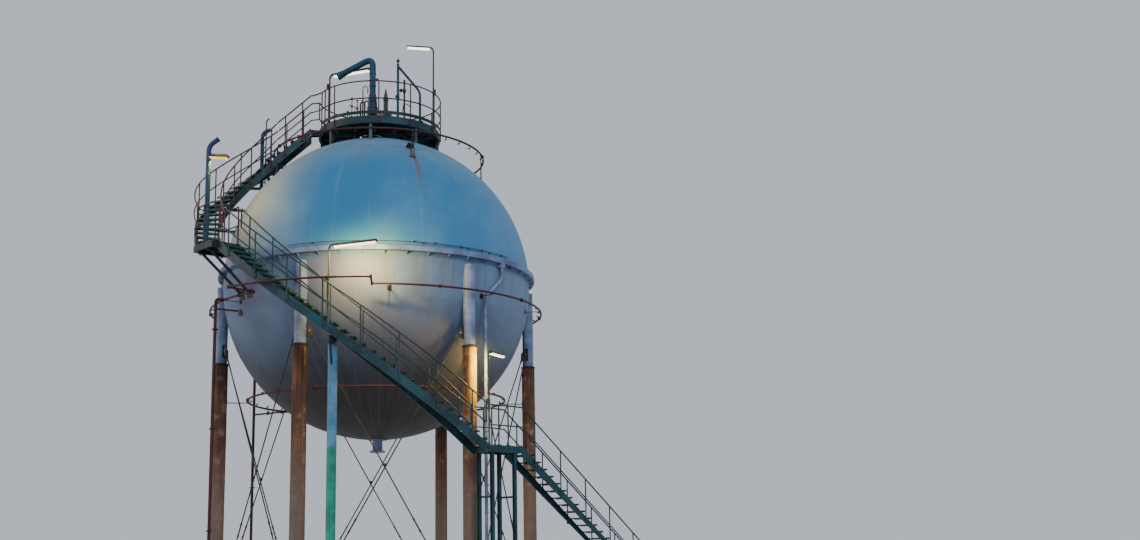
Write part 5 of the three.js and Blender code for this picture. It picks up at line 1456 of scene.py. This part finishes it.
def small_valves():
    """Breathers that turn over, needle valves and the gooseneck, left of the vent stack."""
    body = Body()
    for x, height in ((-0.0927, 0.74), (-0.066, 0.78)):
        foot = near_axis(x, -0.24, DECK)
        body.tube(crook(foot, 0.07, height - 0.07, 0.13), 0.027, 12)
        body.sole(foot, 0.06, 0.014, 0.03, 0.04, 14)
    piece("crown_breathers", body, [MAROON_RAIL])

    body = Body()
    for x, y, height in ((-0.15, -0.24, 0.89), (-0.114, -0.24, 0.8), (-0.185, -0.2, 0.5)):
        foot = near_axis(x, y, DECK)
        body.tube([foot, foot + UP * height], 0.014, 10)
        for z in (0.24, height - 0.28):
            hand_valve(body, foot + UP * z, 0.04, (-1, -0.4, 0.15))
        body.turned([(0.035, 0), (0.04, 0.01), (0.04, 0.03), (0.03, 0.035)], foot + UP * (height - 0.02), 14)
        body.sole(foot, 0.05, 0.012, 0.018, 0.04, 14)
    for height in (0.18, 0.58):
        body.tube([near_axis(x, -0.24, DECK + height) for x in (-0.15, -0.0927)], 0.012, 8)
    piece("crown_small_valves", body, [DARK_TEAL])

    body = Body()
    foot = near_axis(-0.085, -0.2, DECK)
    high = CENTRE + 1.33 * RADIUS - DECK
    body.tube(crook(foot, 0.08, high, 0.16), 0.024, 14)
    body.turned([(0.09, 0.001), (0.09, 0.014), (0.03, 0.018), (0.03, 0.06), (0.024, 0.065)], foot, 18)
    body.bolts(foot + UP * 0.014, 4, 0.065, 0.009, 45)
    body.band(foot + UP * (high - 0.41), 0.024, 0.012, 0.04, 14, 0.01)
    piece("gooseneck_pipe", body, [POLE_GREY, STEEL], ["gooseneck_vent"])


def side_vents():
    """The two vents beside the upper flight, and the valves behind its head."""
    body = Body()
    foot = near_axis(-0.79, -0.03, CENTRE + 0.6 * RADIUS)
    top = Vector((foot.x, foot.y, CENTRE + 1.09 * RADIUS))
    body.tube(rounded([foot, top, top + Vector((0.26, 0, 0.11))], 0.2, 8), 0.062, 24)
    body.flange(foot + UP * 0.35, 0.062, 0.1, 0.016, 8, 0.009)
    body.turned([(0.062, -0.02), (0.073, -0.015), (0.073, 0.0), (0.056, 0.004)],
                top + Vector((0.25, 0, 0.105)), 24, 0, (0.26, 0, 0.11))
    piece("side_vent_pipe", body, [VENT_BLUE, STEEL], ["side_vent"])

    body = Body()
    foot = near_axis(-0.758, -0.06, CENTRE + 0.635 * RADIUS)
    top = Vector((foot.x, foot.y, CENTRE + 1.165 * RADIUS))
    body.tube(rounded([foot, top, top + Vector((0.1, 0, 0.08))], 0.08, 6), 0.022, 12)
    for z in (0.5, 1.1, 1.7):
        body.block(foot + Vector((-0.06, 0.03, z)), (0.16, 0.02, 0.04), (1, -0.4, 0))
    piece("thin_vent_pipe", body, [MAROON_RAIL])

    body = Body()
    for x, y, high in ((-0.755, 0.02, 0.93), (-0.722, 0.035, 0.965), (-0.688, 0.03, 0.94), (-0.65, 0.05, 0.965)):
        low = CENTRE + RADIUS * math.sqrt(1 - x * x - y * y) - 0.02
        foot, top = near_axis(x, y, low), near_axis(x, y, CENTRE + high * RADIUS)
        body.tube([foot, top], 0.022, 10)
        hand_valve(body, top - UP * 0.12, 0.062, (-0.3, -1, 0))
        hand_valve(body, foot.lerp(top, 0.45), 0.055, (0.4, -1, 0))
        body.turned([(0.05, -0.01), (0.05, 0.02), (0.02, 0.03)], top, 14)
    body.tube([near_axis(x, 0.035, CENTRE + 0.86 * RADIUS) for x in (-0.77, -0.63)], 0.03, 12)
    piece("head_valves", body, [VALVE_BLUE])


def landing_vent():
    """The tall bent vent on the middle landing, with its yellow lamp. Returns the lamp's place."""
    body = Body()
    foot = polar(1.252 * RADIUS, -47)
    high, radius = CENTRE + 0.75 * RADIUS, 0.074
    body.turned([(0.1, 0.001), (0.1, 0.022), (0.08, 0.026), (0.076, 0.06)], foot + UP * MIDDLE_LANDING, 28)
    body.bolts(foot + UP * (MIDDLE_LANDING + 0.022), 6, 0.088, 0.009, 0)
    change_over = foot + UP * (high - 0.5)
    body.tube([foot + UP * MIDDLE_LANDING, change_over], radius, 28, 4)
    body.tube(rounded([change_over, foot + UP * (high - 0.06), foot + Vector((0.3, 0, high + 0.16))], 0.26, 10),
              radius, 28)
    mouth = foot + Vector((0.29, 0, high + 0.153))
    body.turned([(radius, -0.03), (0.083, -0.02), (0.083, 0.0), (0.07, 0.002), (0.068, -0.03)], mouth, 28, 0,
                (0.3, 0, 0.22), joined=True)
    for z in (12.1, 13.2):
        body.band(foot + UP * z, radius, 0.006, 0.03, 28)
    lamp_height = CENTRE + 0.662 * RADIUS
    middle = foot + Vector((0.3, -0.06, lamp_height))
    along = (sideways(-12) - UP * 0.12).normalized()
    fixture(body, middle, along, 0.68, 0.15, 0.12, 2, 3)
    body.tube([foot + UP * (lamp_height + 0.12), middle + UP * 0.1, middle + along * 0.3 + UP * 0.09], 0.014, 8, 2)
    piece("landing_vent_pipe", body, [VENT_PURPLE, STEEL, LAMP_OLIVE, YELLOW_GLOW, VENT_BLUE],
          ["landing_vent"])
    return middle


def fixture(body, middle, along, length, width, depth, shade=1, lit=2):
    """A long lamp: a folded hood, its end plates and the lit tube under it."""
    across = UP.cross(along).normalized()
    up = along.cross(across)
    side, half = width / 2, depth / 2

    def run(section, start, end, finish):
        body.loft([[middle + along * s + across * a + up * b for a, b in section] for s in (start, end)], finish)

    top = [(width * 0.3, half), (-width * 0.3, half)]
    hood = [(-side, -half * 0.1), (-side + 0.01, -half * 0.1), (-width * 0.26, half * 0.78),
            (width * 0.26, half * 0.78), (side - 0.01, -half * 0.1), (side, -half * 0.1), *top]
    run(hood, -length / 2, length / 2, shade)
    for end in (-length / 2, length / 2):
        run([(-side, -half * 0.35), (side, -half * 0.35), *top], end - 0.006, end + 0.006, shade)
    lens = [(width * 0.42 * math.cos(t), -half * (0.05 + 0.93 * math.sin(t))) for t in spread(0, math.pi, 10)]
    lens += [(-width * 0.3, half * 0.3), (width * 0.3, half * 0.3)]
    run(lens, 0.02 - length / 2, length / 2 - 0.02, lit)


def lamp(name, foot, low, high, heading, length, lit_length, rise, pole, finish, base=True):
    """A pole that turns over into an arm, with its fixture hung under the arm."""
    body = Body()
    aim = sideways(heading)
    tip = foot + aim * length + UP * (high + rise)
    body.tube(rounded([foot + UP * low, foot + UP * high, tip], 0.16, 8), pole, 16)
    slope = (tip - foot - UP * high).normalized()
    middle = foot + aim * (length + 0.008 - lit_length / 2) + UP * (high + rise * 0.3 - 0.045)
    fixture(body, middle, slope, lit_length - 0.02, 0.165, 0.11)
    for shift in (-0.33, 0.33):
        body.block(middle + slope * shift * lit_length + UP * 0.05, (0.04, 0.06, 0.05), slope, finish=1)
    if base:
        body.turned([(0.09, 0.001), (0.09, 0.014), (pole + 0.008, 0.018), (pole + 0.008, 0.08), (pole, 0.085)],
                    foot + UP * low, 18)
    # Switch box and cable duct on the pole
    body.block(foot + UP * (low + 1.25) - aim * (pole + 0.03), (0.06, 0.11, 0.17), aim)
    duct = foot - aim * (pole + 0.012)
    body.tube([duct + UP * (low + z) for z in (0.05, 1.16)], 0.01, 8)
    piece(name, body, [finish, LAMP_OLIVE, WHITE_GLOW], [name.replace("_post", "")])
    return middle


def lamp_light(name, place, heading, size, colour, energy):
    """The light of a lamp. It leaves the hood down and towards the vessel."""
    data = bpy.data.lights.new(f"{name}_lamp_light", "AREA")
    data.shape = "RECTANGLE"
    data.size, data.size_y = size, 0.14
    data.color, data.energy = colour, energy
    along = sideways(heading)
    aim = (polar(0, 0, place.z) - place).normalized() - UP * 0.75
    aim = (aim - along * aim.dot(along)).normalized()
    turn = Matrix((along, along.cross(aim), -aim)).transposed().to_quaternion()
    shown(data.name, data, turn).location = place - UP * 0.09


def lamps(vent_lamp):
    lower = FLIGHTS["lower"]
    right = lamp("platform_lamp_right_post", polar(0.397 * RADIUS, 72), DECK, CENTRE + 1.64 * RADIUS,
                 187, 0.88, 0.8, 0.03, 0.026, MAROON_RAIL)
    left = lamp("platform_lamp_left_post", polar(0.397 * RADIUS, -47.6), DECK, CENTRE + 1.405 * RADIUS,
                -10, 1.35, 1.24, 0.11, 0.03, MAROON_RAIL)
    stair_lamp = lamp("stair_lamp_post", polar(STAIR_OUTER - 0.062, -4.66), lower.nose(-4.66) + 0.03,
                      CENTRE + 0.01 * RADIUS, -12, 1.43, 1.3, 0.06, 0.026, POLE_GREY, base=False)
    landing = lamp("landing_lamp_post", polar(1.232 * RADIUS, 39.9), LOW_LANDING, CENTRE - 0.575 * RADIUS,
                   72, 1.15, 1.05, 0.04, 0.026, POLE_GREY)
    warm, amber, yellow = (1.0, 0.7, 0.27), (1.0, 0.66, 0.19), (1.0, 0.62, 0.12)
    lamp_light("right", right, 187, 0.7, warm, 28)
    lamp_light("left", left, -10, 1.1, warm, 30)
    lamp_light("stair", stair_lamp, -12, 1.1, amber, 470)
    lamp_light("landing", landing, 72, 0.9, yellow, 300)
    lamp_light("vent", vent_lamp, -12, 0.6, yellow, 120)


# Floor, light and camera


def surroundings():
    mesh = bpy.data.meshes.new("floor")
    count, reach = 64, 400.0
    mesh.from_pydata([round_about(k, count) * reach for k in range(count)], [], [tuple(range(count))])
    floor = shown("floor", mesh)
    paint = Paint("pale_floor")
    clouds = paint.noise(0.15, 3.0, 0.5)
    paint.set(Base_Color=paint.mix(clouds, tone("d3d4d6"), tone("dbdcdd")), Roughness=0.9)
    mesh.materials.append(paint.material)

    world = bpy.data.worlds.new("studio")
    bpy.context.scene.world = world
    world.use_nodes = True
    background = world.node_tree.nodes["Background"]
    background.inputs["Color"].default_value = (0.66, 0.72, 0.8, 1)
    background.inputs["Strength"].default_value = 0.85

    for name, colour, strength, spot, aim in (
        ("key", (0.93, 0.96, 1.0), 1.9, 24, (-0.45, 0.75, -0.62)),
        ("warm_rim", (1.0, 0.76, 0.55), 1.7, 30, (0.95, 0.1, -0.22)),
        ("cool_fill", (0.68, 0.84, 1.0), 0.9, 60, (0.2, 0.9, -0.3)),
    ):
        data = bpy.data.lights.new(name, "SUN")
        data.color, data.energy, data.angle = colour, strength, math.radians(spot)
        shown(name, data, Vector(aim).to_track_quat("-Z", "Y"))

    data = bpy.data.cameras.new("camera")
    data.lens, data.sensor_width, data.shift_y = 41.6, 36.0, 0.045
    data.clip_start, data.clip_end = 0.5, 900
    pitch, yaw, roll = (math.radians(turn) for turn in (10.185, 0.17, -1.085))
    forward = Vector((-math.sin(yaw) * math.cos(pitch), math.cos(yaw) * math.cos(pitch), math.sin(pitch)))
    camera = shown("camera", data, forward.to_track_quat("-Z", "Y") @ Quaternion((0, 0, 1), roll))
    camera.location = near_axis(1.2939, -8.5776, CENTRE - 1.7822 * RADIUS)
    bpy.context.scene.camera = camera


surroundings()
vessel()
lifting_lugs()
weld_seams()
gutter()
drain()
bottom_nozzle()
legs()
bay_braces()
spray_rings()
stair("lower", "lower_curved_flight")
stair("upper", "upper_curved_flight")
stair("top", "top_flight")
stair("ground", "ground_flight")
rails()
landings()
prop_tube()
crown_platform()
vent_stack()
relief_valve()
manway()
davit()
small_valves()
side_vents()
lamps(landing_vent())
